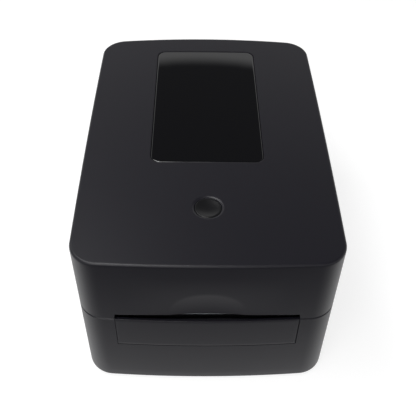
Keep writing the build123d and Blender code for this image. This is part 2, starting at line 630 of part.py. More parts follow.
def roll_holder(side):
    """Upright guide with a hub for the roll's core, on a toothed rack under the bay floor."""
    z_low, z_high = RACK_PINION_Z
    face = rack_face(-HOLDER_X, 12.0)
    rack = extrude(Plane.XY.offset(z_low) * Pos(0, BAY_Y - RACK_PITCH_Y) * face, z_high - 0.5 - z_low)
    foot = block((-HOLDER_X, -HOLDER_X + 7), spread(BAY_Y - RACK_FOOT_Y, 4), (z_low, BAY_FLOOR_Z + 2))
    arm = profile([
        (BAY_Y - 26, BAY_FLOOR_Z + 0.6), (BAY_Y + 26, BAY_FLOOR_Z + 0.6),
        (BAY_Y + 20, ROLL_Z + 12), (BAY_Y + 12, ROLL_Z + 20),
        (BAY_Y - 12, ROLL_Z + 20), (BAY_Y - 20, ROLL_Z + 12),
    ], -HOLDER_X, -HOLDER_X + HOLDER_THICKNESS, 4)
    hub = rod((BAY_Y, ROLL_Z), HUB_RADIUS, -HOLDER_X + 1, -HOLDER_X + HOLDER_THICKNESS + 7)
    hub -= rod((BAY_Y, ROLL_Z), HUB_RADIUS - 2, -HOLDER_X + HOLDER_THICKNESS, 0)
    holder = rack + foot + arm + hub
    return holder if side < 0 else Pos(0, 2 * BAY_Y, 0) * Rot(0, 0, 180) * holder


def rack_pinion():
    z_low, z_high = RACK_PINION_Z
    face = Pos(0, BAY_Y) * Rot(0, 0, -90 + 180 / RACK_PINION_TEETH) * gear_face(RACK_PINION_TEETH)
    body = extrude(Plane.XY.offset(z_low) * face, z_high - z_low)
    return body - Pos(0, BAY_Y, z_low) * Cylinder(PIN_RADIUS + SHAFT_CLEARANCE, 30)


# ---- Rear sockets ----------------------------------------------------------------------------
def socket(x, size, hole):
    """A connector shell from the rear board to the rear face, open to the rear."""
    wide, tall = size
    along = (IO_Y + BOARD_THICKNESS, REAR - SOCKET_SINK)
    return block(spread(x, wide), along, spread(SOCKET_Z, tall)) - hole


def dc_inlet():
    y = REAR - SOCKET_SINK
    hole = Pos(DC_X, y - 5, SOCKET_Z) * Rot(90, 0, 0) * (Cylinder(3.2, 11) - Cylinder(1.0, 12))
    return socket(DC_X, DC_SIZE, hole)


def usb_socket():
    y = REAR - SOCKET_SINK
    hole = block(spread(USB_X, 8.4), (y - 10, y + 1), spread(SOCKET_Z, 7.8))
    tongue = block(spread(USB_X, 5.6), (y - 10, y), spread(SOCKET_Z + 0.2, 3.2))
    return socket(USB_X, USB_SIZE, hole - tongue)


def io_board():
    return block((-16, 52), (IO_Y, IO_Y + BOARD_THICKNESS), spread(SOCKET_Z, 36))


def power_switch():
    """Rocker switch housing snapped into the rear wall, with a flange outside."""
    wide, tall = SWITCH_SIZE
    face = rear_face_y(SWITCH_X)
    body = block(spread(SWITCH_X, wide, -0.2), (face - 16, face + 0.5), spread(SOCKET_Z, tall, -0.2))
    flange = block(spread(SWITCH_X, wide, SWITCH_FLANGE), (face + 0.1, face + 1.6),
                   spread(SOCKET_Z, tall, SWITCH_FLANGE))
    opening = block(spread(SWITCH_X, 16.8), (face - 7, face + 3), spread(SOCKET_Z, 11.8))
    pivot = post(SWITCH_X, face, SOCKET_Z - 6.7, SOCKET_Z + 6.7, ROCKER_PIVOT + SHAFT_CLEARANCE)
    return body + flange - opening - pivot


def rear_face_y(x):
    """How far back the rear face lies at x, with the largest value over a switch's width."""
    near = abs(x) - SWITCH_SIZE[0] / 2
    return REAR - FRONT_BOW * (near / (WIDTH / 2)) ** 2


def rocker():
    """Rocker tilted to one side of its pivot, an axis along Z."""
    face = rear_face_y(SWITCH_X)
    reach = 8.0
    form = Polyline(
        (-reach, -1.5), (-reach, 3.4), (0, 2.0), (reach, 3.4), (reach, -1.5), (0, -4.0), close=True,
    )
    body = extrude(make_face(form), 11.0)
    body += Pos(0, 0, 5.5) * Cylinder(ROCKER_PIVOT, 13.0)
    return Pos(SWITCH_X, face, SOCKET_Z - 5.5) * Rot(0, 0, ROCKER_TILT) * body


def main():
    os.makedirs("parts", exist_ok=True)
    save("base_housing", base_housing())
    save("front_panel", front_panel())
    save("feet", *feet())
    save("media_chassis", media_chassis())
    save("paper_deck", paper_deck())
    for side, word in ((-1, "left"), (1, "right")):
        save(f"side_plate_{word}", side_plate(side))
        save(f"platen_bush_{word}", platen_bush(side))
        save(f"roll_holder_{word}", roll_holder(side))
        save(f"latch_hook_{word}", latch_hook(side))
        cover_span, base_spans = hinge_spans(side)
        save(f"hinge_pin_{word}", rod((REAR, SEAM_Z), HINGE_PIN_RADIUS, base_spans[0][0], base_spans[1][1]))
    save("tear_bar", tear_bar())
    save("main_board", main_board())
    save("board_parts", *board_parts())
    save("platen_roller", tube(PLATEN, PLATEN_RADIUS, SHAFT_RADIUS, -MEDIA_WIDTH / 2, MEDIA_WIDTH / 2))
    save("platen_shaft", rod(PLATEN, SHAFT_RADIUS, LEVEL_A, BASE_PLATE_X + PLATE + 2))
    platen_gear = gear(PLATEN_TEETH, PLATEN, PLATEN_PHASE, LEVEL_A, LEVEL_A + GEAR_WIDTH)
    save("platen_gear", platen_gear - rod(PLATEN, SHAFT_RADIUS, LEVEL_A - 1, 0))
    save("reduction_gear", reduction_gear())
    save("reduction_pin", rod(REDUCTION, PIN_RADIUS, LEVEL_B - 1, -BASE_PLATE_X - PLATE))
    save("stepper_motor", stepper_motor())
    save("motor_shaft", rod(MOTOR, PIN_RADIUS, LEVEL_B, -BASE_PLATE_X + 19))
    motor_pinion = gear(PINION_TEETH, MOTOR, MOTOR_PHASE, LEVEL_B, LEVEL_B + GEAR_WIDTH)
    save("motor_pinion", motor_pinion - rod(MOTOR, PIN_RADIUS, LEVEL_B - 1, 0))
    save("rack_pinion", rack_pinion())
    save("io_board", io_board())
    save("dc_inlet", dc_inlet())
    save("usb_socket", usb_socket())
    save("power_switch", power_switch())
    save("power_rocker", rocker())
    save("top_cover", top_cover())
    save("cover_window", cover_window())
    save("feed_button", feed_button())
    save("button_board", button_board())
    save("ribbon_frame", ribbon_frame())
    save("print_head", print_head())
    save("heat_sink", heat_sink())
    save("head_bracket", head_bracket())
    save("head_pivot", rod(HEAD_PIVOT, 2, -COVER_PLATE_X - PLATE, COVER_PLATE_X + PLATE))
    save("head_springs", *head_springs())
    save("supply_spindle", ribbon_spindle(SUPPLY, 14))
    save("takeup_spindle", ribbon_spindle(TAKEUP, 12) + rod(TAKEUP, 4, LEVEL_A, -COVER_PLATE_X))
    takeup_gear = gear(TAKEUP_TEETH, TAKEUP, TAKEUP_PHASE, LEVEL_A, LEVEL_A + GEAR_WIDTH)
    save("takeup_gear", takeup_gear - rod(TAKEUP, 4, LEVEL_A - 1, 0))
    idler = gear(IDLER_TEETH, IDLER, IDLER_PHASE, LEVEL_A, LEVEL_A + GEAR_WIDTH)
    save("ribbon_idler", idler - rod(IDLER, 2 + SHAFT_CLEARANCE, LEVEL_A - 1, 0))
    save("idler_pin", rod(IDLER, 2, LEVEL_A - 1, -COVER_PLATE_X - PLATE))
    save("latch_shaft", rod(LATCH, 2.5, -COVER_PLATE_X - PLATE, COVER_PLATE_X + PLATE))


main()
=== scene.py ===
import json

import bpy
import numpy as np
from mathutils import Matrix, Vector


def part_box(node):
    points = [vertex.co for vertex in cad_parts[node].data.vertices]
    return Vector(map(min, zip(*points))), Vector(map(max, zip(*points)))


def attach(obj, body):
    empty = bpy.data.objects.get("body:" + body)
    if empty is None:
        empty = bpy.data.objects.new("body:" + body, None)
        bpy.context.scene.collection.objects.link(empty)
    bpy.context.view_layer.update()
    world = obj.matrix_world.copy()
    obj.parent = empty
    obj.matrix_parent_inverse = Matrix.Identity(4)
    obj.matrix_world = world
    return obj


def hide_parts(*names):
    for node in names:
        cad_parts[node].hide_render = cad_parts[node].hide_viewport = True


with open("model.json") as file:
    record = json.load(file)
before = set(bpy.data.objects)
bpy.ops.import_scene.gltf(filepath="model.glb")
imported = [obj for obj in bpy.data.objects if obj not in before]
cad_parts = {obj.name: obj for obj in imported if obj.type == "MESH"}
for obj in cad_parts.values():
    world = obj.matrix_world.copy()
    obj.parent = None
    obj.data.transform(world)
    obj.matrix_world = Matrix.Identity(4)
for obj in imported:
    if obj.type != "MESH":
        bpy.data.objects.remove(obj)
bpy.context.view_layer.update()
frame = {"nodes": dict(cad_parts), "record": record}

bl_info = {
    "name": "Desktop Label Printer",
    "version": (1, 0, 0),
    "blender": (4, 5, 0),
    "location": "3D View > Sidebar > Label Printer",
    "description": "Builds the moulded casing and the finishes of a clamshell thermal label printer",
    "category": "Add Mesh",
}

MM = 0.001                # every shape is worked out in millimetres and stored in metres
SHELL_SHIFT = -1.5        # the casing's middle lies this far in front of the origin
PI = np.pi


# ---- Sizes and colours that a user would change ------------------------------------------
def length(name, description, millimetres):
    """A size that the sidebar shows, from its default in millimetres."""
    return bpy.props.FloatProperty(name=name, description=description, default=millimetres * MM,
                                   min=0.0, precision=5, unit="LENGTH")


def colour(name, description, code):
    """A finish that the sidebar shows, from its sRGB hex code."""
    return bpy.props.StringProperty(name=name, description=description, default=code)


class CasingSizes(bpy.types.PropertyGroup):
    """Plan, section and split of the moulded casing."""
    width: length("Width", "Over the bowed sides", 200.0)
    depth: length("Depth", "Front to rear, without the hinge knuckles", 292.0)
    height: length("Height", "From the table to the crown of the cover", 150.0)
    foot_height: length("Foot height", "How far the feet lift the casing", 2.5)
    seam: length("Seam height", "Height of the split between base and cover", 84.7)
    seam_gap: length("Seam gap", "Gap between base and cover", 0.8)
    corner: length("Corner radius", "Radius of the upright corners", 21.8)
    front_bow: length("Front bow", "How far the front and rear faces bulge", 4.6)
    side_bow: length("Side bow", "How far the sides bulge", 1.1)
    crown: length("Crown", "Fall of the roof from its middle to its sides", 1.7)
    wall: length("Wall", "Thickness of the moulded wall", 2.5)
    roof_edge: length("Roof edge", "Radius round the roof", 2.0)
    base_edge: length("Base edge", "Radius round the underside", 2.4)
    seam_chamfer: length("Seam chamfer", "Bevel along the top of the base", 0.9)


class FrontSizes(bpy.types.PropertyGroup):
    """Label slot, blank panel, and the flat and thumb dish above the slot."""
    panel_width: length("Panel width", "Snap-in blank below the slot", 141.0)
    panel_height: length("Panel height", "Snap-in blank below the slot", 33.4)
    panel_depth: length("Panel pocket", "Depth of the pocket that holds the blank", 1.8)
    panel_gap: length("Panel gap", "Seam round the blank", 0.3)
    slot_height: length("Slot height", "From the cover's edge up to the lip", 5.2)
    flat_width: length("Flat width", "Where the lip runs straight", 128.0)
    flat_height: length("Flat height", "Over which the flat fades into the bow", 46.0)
    dish_width: length("Dish width", "Thumb dish above the slot", 58.0)
    dish_height: length("Dish height", "Thumb dish above the slot", 48.0)
    dish_middle: length("Dish middle", "Deepest point above the lip", 3.0)
    dish_depth: length("Dish depth", "Thumb dish above the slot", 1.6)


class TopSizes(bpy.types.PropertyGroup):
    """Window and feed button."""
    window_width: length("Window width", "Smoked window", 92.0)
    window_length: length("Window length", "Smoked window", 160.5)
    window_margin: length("Window margin", "From the rear of the casing to the window", 23.7)
    window_radius: length("Window radius", "Corners of the window", 8.0)
    window_ledge: length("Window ledge", "Width of the seat under the window", 3.5)
    window_thickness: length("Window thickness", "Smoked acrylic sheet", 1.6)
    button_margin: length("Button margin", "From the front of the casing to the button", 57.2)
    button_radius: length("Button radius", "Feed button", 10.2)
    button_recess: length("Button recess", "Outer radius of the dish round the button", 12.3)
    button_dish: length("Button dish", "Depth of the hollow in the button", 1.1)


class FinishColours(bpy.types.PropertyGroup):
    """sRGB colours of the finishes, as hex codes."""
    casing: colour("Casing", "Black moulded ABS", "15141b")
    window: colour("Window", "Smoked acrylic", "07070a")
    button: colour("Button", "Black moulded ABS", "121214")
    chassis: colour("Chassis", "Dark grey moulded ABS", "333336")
    acetal: colour("Acetal", "Natural acetal", "e4e1d6")
    acetal_black: colour("Black acetal", "Black acetal", "202023")
    zinc: colour("Zinc", "Zinc plated sheet steel", "b9bcbf")
    steel: colour("Ground steel", "Ground shafts", "c6c8ca")
    aluminium: colour("Aluminium", "Extruded aluminium", "c9cbce")
    ceramic: colour("Head", "Glazed ceramic", "6e5f48")
    rubber: colour("Platen rubber", "Silicone rubber", "232326")
    foot: colour("Foot rubber", "Moulded rubber", "161616")
    board: colour("Circuit board", "Solder mask", "0f5a2a")
    nylon: colour("Nylon", "Switch and connector bodies", "141415")
    motor: colour("Motor case", "Black oxide on laminated steel", "38393b")
    spring: colour("Spring wire", "Drawn steel wire", "9a9c9f")
    backdrop: colour("Table", "Opal glass table of the studio", "989898")
    # painted reflection: the card glows and is seen only in the front's reflections, where it stands in for
    # a darker room
    card: colour("Card", "Card in front of the printer", "050505")


def sizes(group):
    """The sizes of one property group in millimetres, by name."""
    values = getattr(bpy.context.scene, group)
    return {key: getattr(values, key) / MM for key in values.__annotations__}


# ---- Mesh tools ------------------------------------------------------------------------
def grid_faces(rows, columns, closed, first=0):
    """Quads of a rows x columns grid of points, the last column joined to the first if closed."""
    across = np.arange(columns if closed else columns - 1)
    row = np.arange(rows - 1)[:, None]
    left, right = row * columns + across, row * columns + (across + 1) % columns
    quads = np.stack([left, right, right + columns, left + columns], axis=-1)
    return quads.reshape(-1, 4) + first


def weld(parts):
    """Joins (points, quads) pairs: points nearer than 0.1 um are made one, and faces that
    lose a corner become triangles or go."""
    points = np.vstack([part[0].reshape(-1, 3) for part in parts])
    counts = np.cumsum([0] + [part[0].reshape(-1, 3).shape[0] for part in parts])
    quads = np.vstack([part[1] + start for part, start in zip(parts, counts)])
    keys, first, inverse = np.unique(np.round(points, 4), axis=0, return_index=True,
                                     return_inverse=True)
    quads = inverse.reshape(-1)[quads]
    same = quads == np.roll(quads, -1, axis=1)
    whole = quads[~same.any(axis=1)]
    part = quads[same.sum(axis=1) == 1]
    keep = ~(part == np.roll(part, -1, axis=1))
    triangles = part[keep].reshape(-1, 3)
    triangles = triangles[triangles[:, 0] != triangles[:, 2]]
    return points[first], whole, triangles


def make_piece(name, parts, finish, body, sharp=32.0):
    """One mesh object from (points, quads) pairs in the casing's millimetres."""
    points, quads, triangles = weld(parts)
    points = (points + (0.0, SHELL_SHIFT, 0.0)) * MM
    corners = np.concatenate([quads.reshape(-1), triangles.reshape(-1)])
    totals = np.concatenate([np.full(len(quads), 4), np.full(len(triangles), 3)])
    mesh = bpy.data.meshes.new(name)
    mesh.vertices.add(len(points))
    mesh.vertices.foreach_set("co", points.astype(np.float32).reshape(-1))
    mesh.loops.add(len(corners))
    mesh.loops.foreach_set("vertex_index", corners.astype(np.int32))
    mesh.polygons.add(len(totals))
    starts = np.concatenate([[0], np.cumsum(totals)[:-1]])
    mesh.polygons.foreach_set("loop_start", starts.astype(np.int32))
    mesh.update(calc_edges=True)
    mesh.validate()
    mesh.polygons.foreach_set("use_smooth", np.ones(len(mesh.polygons), bool))
    mesh.set_sharp_from_angle(angle=np.radians(sharp))
    mesh.materials.append(finish)
    piece = bpy.data.objects.new(name, mesh)
    bpy.context.scene.collection.objects.link(piece)
    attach(piece, body)
    return piece


# ---- Plan of the casing -------------------------------------------------------------------
class Plan:
    """The casing from above: a closed line of eight arcs, four bowed sides and four round
    corners, walked anticlockwise from the left end of the front. A position on it is a length
    along the line."""

    def __init__(self, size):
        half_x, half_y = size["width"] / 2, size["depth"] / 2
        end_x, end_y = half_x - size["side_bow"], half_y - size["front_bow"]
        self.front_radius = (end_x**2 + size["front_bow"]**2) / (2 * size["front_bow"])
        self.side_radius = (end_y**2 + size["side_bow"]**2) / (2 * size["side_bow"])
        corner = size["corner"]
        front = np.array([0.0, self.front_radius - half_y])
        side = np.array([half_x - self.side_radius, 0.0])
        span = np.hypot(*(side - front))
        near, far = self.front_radius - corner, self.side_radius - corner
        along = (near**2 - far**2 + span**2) / (2 * span)
        aside = np.sqrt(near**2 - along**2)
        unit = (side - front) / span
        middle = front + along * unit + aside * np.array([-unit[1], unit[0]])
        if middle[1] > 0 or middle[0] < 0:
            middle = front + along * unit - aside * np.array([-unit[1], unit[0]])
        low = np.arctan2(middle[1] - front[1], middle[0] - front[0])
        high = np.arctan2(middle[1] - side[1], middle[0] - side[0])
        x, y = middle
        arcs = [
            (front[0], front[1], self.front_radius, -PI - low, low),
            (x, y, corner, low, high),
            (side[0], 0.0, self.side_radius, high, -high),
            (x, -y, corner, -high, -low),
            (0.0, -front[1], self.front_radius, -low, PI + low),
            (-x, -y, corner, PI + low, PI + high),
            (-side[0], 0.0, self.side_radius, PI + high, PI - high),
            (-x, y, corner, PI - high, PI - low),
        ]
        self.arcs = np.array(arcs)
        lengths = self.arcs[:, 2] * (self.arcs[:, 4] - self.arcs[:, 3])
        self.starts = np.concatenate([[0], np.cumsum(lengths)])

    def at(self, positions):
        """Points and outward normals at the given positions."""
        which = np.clip(np.searchsorted(self.starts, positions, side="right") - 1, 0, 7)
        x, y, radius, start = self.arcs[which, :4].T
        angle = start + (positions - self.starts[which]) / radius
        normal = np.stack([np.cos(angle), np.sin(angle)], axis=-1)
        return np.stack([x, y], axis=-1) + radius[:, None] * normal, normal

    def front_at(self, x):
        """Positions on the front from x."""
        return self.front_radius * (np.arcsin(x / self.front_radius) - PI / 2 - self.arcs[0, 3])

    def rear_at(self, x):
        """Positions on the rear from x."""
        angle = PI / 2 - np.arcsin(x / self.front_radius)
        return self.starts[4] + self.front_radius * (angle - self.arcs[4, 3])

    def right_at(self, y):
        """Positions on the right side from y."""
        angle = np.arcsin(y / self.side_radius)
        return self.starts[2] + self.side_radius * (angle - self.arcs[2, 3])

    def left_at(self, y):
        """Positions on the left side from y."""
        angle = PI - np.arcsin(y / self.side_radius)
        return self.starts[6] + self.side_radius * (angle - self.arcs[6, 3])

    def facing(self, centre, angles):
        """Positions that rays from centre at the given angles meet."""
        dense = np.linspace(0, self.starts[-1], 20001)[:-1]
        points, _ = self.at(dense)
        seen = np.arctan2(points[:, 1] - centre[1], points[:, 0] - centre[0])
        order = np.argsort(seen)
        return np.interp(angles, seen[order], dense[order])


def rounded_rectangle(directions, half_x, half_y, radius):
    """Where rays from the middle meet a rectangle with round corners: the nearer side, or the
    corner's circle where the point would lie past both tangent points."""
    unit = directions / np.linalg.norm(directions, axis=1)[:, None]
    ax, ay = np.abs(unit).T + 1e-12
    reach = np.minimum(half_x / ax, half_y / ay)
    cx, cy = half_x - radius, half_y - radius
    corner = (reach * ax > cx) & (reach * ay > cy)
    middle = ax * cx + ay * cy
    root = np.sqrt(np.maximum(middle**2 - (cx**2 + cy**2 - radius**2), 0))
    reach = np.where(corner, middle + root, reach)
    return unit * reach[:, None]


def ledges(values, edges, step=0.02):
    """values with both sides of each edge added, step apart, for an upright step there."""
    edges = np.asarray(edges)
    return np.unique(np.round(np.concatenate([values, edges - step / 2, edges + step / 2]), 4))


def smooth_step(values, middle, half):
    """0 below middle - half, 1 above middle + half, and a smooth S between them."""
    t = np.clip((values - middle + half) / (2 * half), 0, 1)
    return t * t * (3 - 2 * t)


# ---- Layout that pieces share --------------------------------------------------------------
DECK_DROP = 7.0           # top of the inner deck below the base's rim
SLOT_HALF = 70.2          # half the label slot
END_Y = 100.0             # what lies further out than this belongs to the front or the rear
ROOF_INSET = 0.5          # the roof starts this far inside its rounded edge
SPLIT_Y = -58.0           # the roof's two zones meet here, between the window and the button
HINGES = (-60.0, 60.0)    # the middles of the two hinges along X
KNUCKLE_RADIUS = 3.0
KNUCKLE_PLAY = 0.4        # between a knuckle and the notch it turns in
COVER_KNUCKLE = 12.0      # length of a knuckle on the cover, and on the base below
BASE_KNUCKLE = 7.0
KNUCKLE_GAP = 0.3         # between neighbouring knuckles
FANFOLD = (-59.0, 59.0, 58.0, 66.0)       # rear openings: x low, x high, z low, z high
SWITCH_HOLE = (-76.5, -55.5, 22.5, 37.5)
SOCKET_PLAY = 0.3         # round the sockets in the rear wall
BUTTON_PLAY = 0.15        # round the feed button
LENS_GAP = 0.20           # between the window and its seat
LENS_EDGE = 1.2           # radius of the window's polished edge
PANEL_ROLL = 0.3          # radius of the blank panel's edge
SPRING_WIRE = 0.4         # radius of the wire of the head's springs
SPRING_TURNS = 6
SCREWS = [(x, y) for x in (-87, 87) for y in (-48, 34, 116)]  # on the inner deck


def box_hole(node, gap):
    """A node's outline on the rear face as (x low, x high, z low, z high), grown by gap."""
    low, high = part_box(node)
    return (low[0] / MM - gap, high[0] / MM + gap, low[2] / MM - gap, high[2] / MM + gap)


def rear_holes():
    """Every opening of the rear wall."""
    return [FANFOLD, SWITCH_HOLE, box_hole("dc_inlet", SOCKET_PLAY), box_hole("usb_socket", SOCKET_PLAY)]


def knuckle_spans():
    """X spans of the two cover knuckles and of the four base knuckles."""
    half = COVER_KNUCKLE / 2
    cover = [(x - half, x + half) for x in HINGES]
    reach = half + KNUCKLE_GAP + BASE_KNUCKLE
    base = [(x - reach, x - half - KNUCKLE_GAP) for x in HINGES]
    base += [(x + half + KNUCKLE_GAP, x + reach) for x in HINGES]
    return cover, base


def in_spans(x, spans):
    """1 where x lies in a span or within the knuckle gap of it, 0 elsewhere."""
    return sum(((x > low - KNUCKLE_GAP) & (x < high + KNUCKLE_GAP)).astype(float) for low, high in spans)


def layout():
    """Positions along the plan where every shell has a column, and the roof's split line."""
    size, front, top = sizes("casing"), sizes("front"), sizes("top")
    plan = Plan(size)
    half = front["panel_width"] / 2
    ends = np.linspace(SLOT_HALF - 1.2, SLOT_HALF + 1.2, 9)
    even = [np.arange(-57, 57.1, 1.5), np.arange(-77, 77.1, 4)]
    x_front = ledges(np.concatenate([*even, -ends, ends]), [-half, half])
    edges = [edge for hole in rear_holes() for edge in hole[:2]]
    cover, base = knuckle_spans()
    notches = [edge for low, high in cover + base for edge in (low - KNUCKLE_GAP, high + KNUCKLE_GAP)]
    x_rear = ledges(np.concatenate([np.arange(-77, 77.1, 5), edges]), notches)
    y_side = np.concatenate([np.linspace(-120, 120, 21), [SPLIT_Y]])
    corners = [np.linspace(plan.starts[k], plan.starts[k + 1], 17) for k in (1, 3, 5, 7)]
    # the window's round corners need columns of their own
    centre = (0.0, size["depth"] / 2 - top["window_margin"] - top["window_length"] / 2)
    cx = top["window_width"] / 2 - top["window_radius"]
    cy = top["window_length"] / 2 - top["window_radius"]
    turn = np.linspace(0, PI / 2, 11)
    arc = top["window_radius"] * np.stack([np.cos(turn), np.sin(turn)])
    rays = np.concatenate([np.arctan2(up * (cy + arc[1]), side * (cx + arc[0]))
                           for side in (-1, 1) for up in (-1, 1)])
    seen = plan.facing(centre, rays)
    points, _ = plan.at(seen)
    seen = seen[points[:, 1] > SPLIT_Y + 3]
    columns = np.concatenate([plan.front_at(x_front), plan.rear_at(x_rear), plan.right_at(y_side),
                              plan.left_at(y_side), *corners, seen])
    columns = np.unique(np.round(columns % plan.starts[-1], 4))
    close = np.diff(columns) < 0.012
    columns = columns[np.concatenate([[True], ~close])]
    # rays to the front corners of the window cross the split line
    front_rays = rays[np.sin(rays) < 0]
    cross = centre[0] + (SPLIT_Y - centre[1]) / np.tan(front_rays)
    reach = plan.at(plan.right_at(np.array([SPLIT_Y])))[0][0, 0]
    cross = cross[np.abs(cross) < reach - 6]
    split = np.unique(np.round(np.concatenate([np.linspace(-90, 90, 31), cross]), 3))
    return plan, columns, split, centre


def roof_height(size, x):
    """A drum along Y: height falls off as a circle whose sagitta at the sides is the crown."""
    radius = (size["width"] / 2) ** 2 / (2 * size["crown"])
    return size["height"] - radius + np.sqrt(radius**2 - x**2)


def zone(plan, columns, split, rear, inset):
    """The outer loop of one roof zone: the plan drawn in by inset, closed along the split."""
    points, normals = plan.at(columns)
    loop = points - inset * normals
    if rear:
        keep = np.where(points[:, 1] > SPLIT_Y - 0.001)[0]
        edge = loop[keep]
        line = split
    else:
        keep = np.where(points[:, 1] < SPLIT_Y + 0.001)[0]
        turn = np.argmax(np.diff(np.concatenate([keep, [keep[0] + len(columns)]])))
        keep = np.roll(keep, -(turn + 1))
        edge = loop[keep]
        line = split[::-1]
    across = np.stack([line, np.full(len(line), SPLIT_Y)], axis=-1)
    return np.vstack([edge, across])


def stack(loops, heights):
    """Points of a grid from loops of (x, y) and their heights."""
    return np.stack([np.column_stack([loop, height]) for loop, height in zip(loops, heights)])


# ---- Materials ---------------------------------------------------------------------------
def linear(code):
    """sRGB hex to linear RGBA."""
    value = np.array([int(code[k:k + 2], 16) for k in (0, 2, 4)]) / 255
    value = np.where(value <= 0.04045, value / 12.92, ((value + 0.055) / 1.055) ** 2.4)
    return (*value, 1.0)


def add(tree, kind, settings=None, **links):
    """Adds a node with its settings. A link names an input and gives an output socket."""
    node = tree.nodes.new(kind)
    for key, value in (settings or {}).items():
        if key in node.inputs:
            node.inputs[key].default_value = value
        else:
            setattr(node, key, value)
    for key, output in links.items():
        name = key.replace("_", " ")
        target = node.inputs[int(key[1:])] if key[0] == "i" and key[1:].isdigit() else node.inputs[name]
        tree.links.new(output, target)
    return node


def new_material(name, shader):
    """A material with a Principled shader whose own sockets hold the uniform values."""
    material = bpy.data.materials.new(name)
    material.use_nodes = True
    tree = material.node_tree
    tree.nodes.clear()
    surface = add(tree, "ShaderNodeBsdfPrincipled", shader)
    output = add(tree, "ShaderNodeOutputMaterial")
    tree.links.new(surface.outputs[0], output.inputs["Surface"])
    return material, tree, surface


def emboss(tree, surface, height, strength, depth):
    """Bumps the surface by a height pattern, depth in millimetres."""
    relief = add(tree, "ShaderNodeBump", {"Strength": strength, "Distance": depth * MM}, Height=height)
    tree.links.new(relief.outputs[0], surface.inputs["Normal"])


def spread_gloss(tree, surface, pattern, low, high):
    """Lets the roughness wander from low to high with a pattern."""
    gloss = add(tree, "ShaderNodeMapRange", {"To Min": low, "To Max": high}, Value=pattern)
    tree.links.new(gloss.outputs[0], surface.inputs["Roughness"])


def two_tones(tree, surface, pattern, low, high):
    """Mixes two colours with a pattern, each the base colour (red, green, blue) times a share."""
    tone = add(tree, "ShaderNodeMix", {"data_type": "RGBA"}, Factor=pattern)
    base = surface.inputs["Base Color"].default_value[:3]
    for socket, share in ((6, low), (7, high)):
        tone.inputs[socket].default_value = tuple(min(1.0, c * share) for c in base) + (1.0,)
    tree.links.new(tone.outputs[2], surface.inputs["Base Color"])


def object_place(tree):
    """Coordinates that stay on the piece."""
    return add(tree, "ShaderNodeTexCoord").outputs["Object"]


def per_metre(millimetres):
    """Noise scale whose features are about this many millimetres across."""
    return 1000.0 / millimetres


def moulded(name, code, roughness, grain, bump, shade=0.08, coat=0.0):
    """Moulded plastic: a fine spark-eroded grain in the bump and a slow drift of tone and
    gloss, as the flow of the melt leaves."""
    material, tree, surface = new_material(name, {
        "Base Color": linear(code), "Roughness": roughness, "IOR": 1.52,
        "Specular IOR Level": 0.34, "Coat Weight": coat})
    place = object_place(tree)
    drift = add(tree, "ShaderNodeTexNoise", {"Scale": per_metre(60), "Detail": 2.0}, Vector=place)
    fine = add(tree, "ShaderNodeTexNoise", {
        "Scale": per_metre(grain), "Detail": 3.0, "Roughness": 0.6}, Vector=place)
    two_tones(tree, surface, drift.outputs["Fac"], 1 - shade, 1 + shade)
    spread_gloss(tree, surface, fine.outputs["Fac"], roughness - 0.03, roughness + 0.03)
    emboss(tree, surface, fine.outputs["Fac"], bump, 0.02)
    return material


def metal(name, code, roughness, stretch, grain, depth):
    """Bare or plated metal: fine lines across the part, drawn long by stretch along X."""
    material, tree, surface = new_material(name, {
        "Base Color": linear(code), "Roughness": roughness, "Metallic": 1.0})
    drawn = add(tree, "ShaderNodeMapping", {"Scale": stretch}, Vector=object_place(tree))
    lines = add(tree, "ShaderNodeTexNoise", {"Scale": per_metre(grain), "Detail": 4.0},
                Vector=drawn.outputs[0])
    spread_gloss(tree, surface, lines.outputs["Fac"], roughness - 0.07, roughness + 0.1)
    emboss(tree, surface, lines.outputs["Fac"], 0.25, depth)
    return material


def circuit_board(name, code):
    """Solder mask over copper tracks: bands of a Voronoi pattern stand a little proud and
    paler, 3 mm apart."""
    material, tree, surface = new_material(name, {
        "Base Color": linear(code), "Roughness": 0.32, "Coat Weight": 0.3})
    cells = add(tree, "ShaderNodeTexVoronoi", {
        "distance": "CHEBYCHEV", "feature": "F1", "Scale": per_metre(3)}, Vector=object_place(tree))
    track = add(tree, "ShaderNodeMapRange", {"From Min": 0.32, "From Max": 0.36},
                Value=cells.outputs["Distance"])
    two_tones(tree, surface, track.outputs[0], 1.0, 1.7)
    emboss(tree, surface, track.outputs[0], 0.4, 0.03)
    return material


def smoked_acrylic(name, code):
    """Polished smoked sheet: mirror gloss over a near black tint that lets little through."""
    material, tree, surface = new_material(name, {
        "Base Color": linear(code), "Roughness": 0.02, "IOR": 1.49, "Specular IOR Level": 0.75})
    waves = add(tree, "ShaderNodeTexNoise", {"Scale": per_metre(45), "Detail": 1.0},
                Vector=object_place(tree))
    emboss(tree, surface, waves.outputs["Fac"], 0.3, 0.01)
    return material


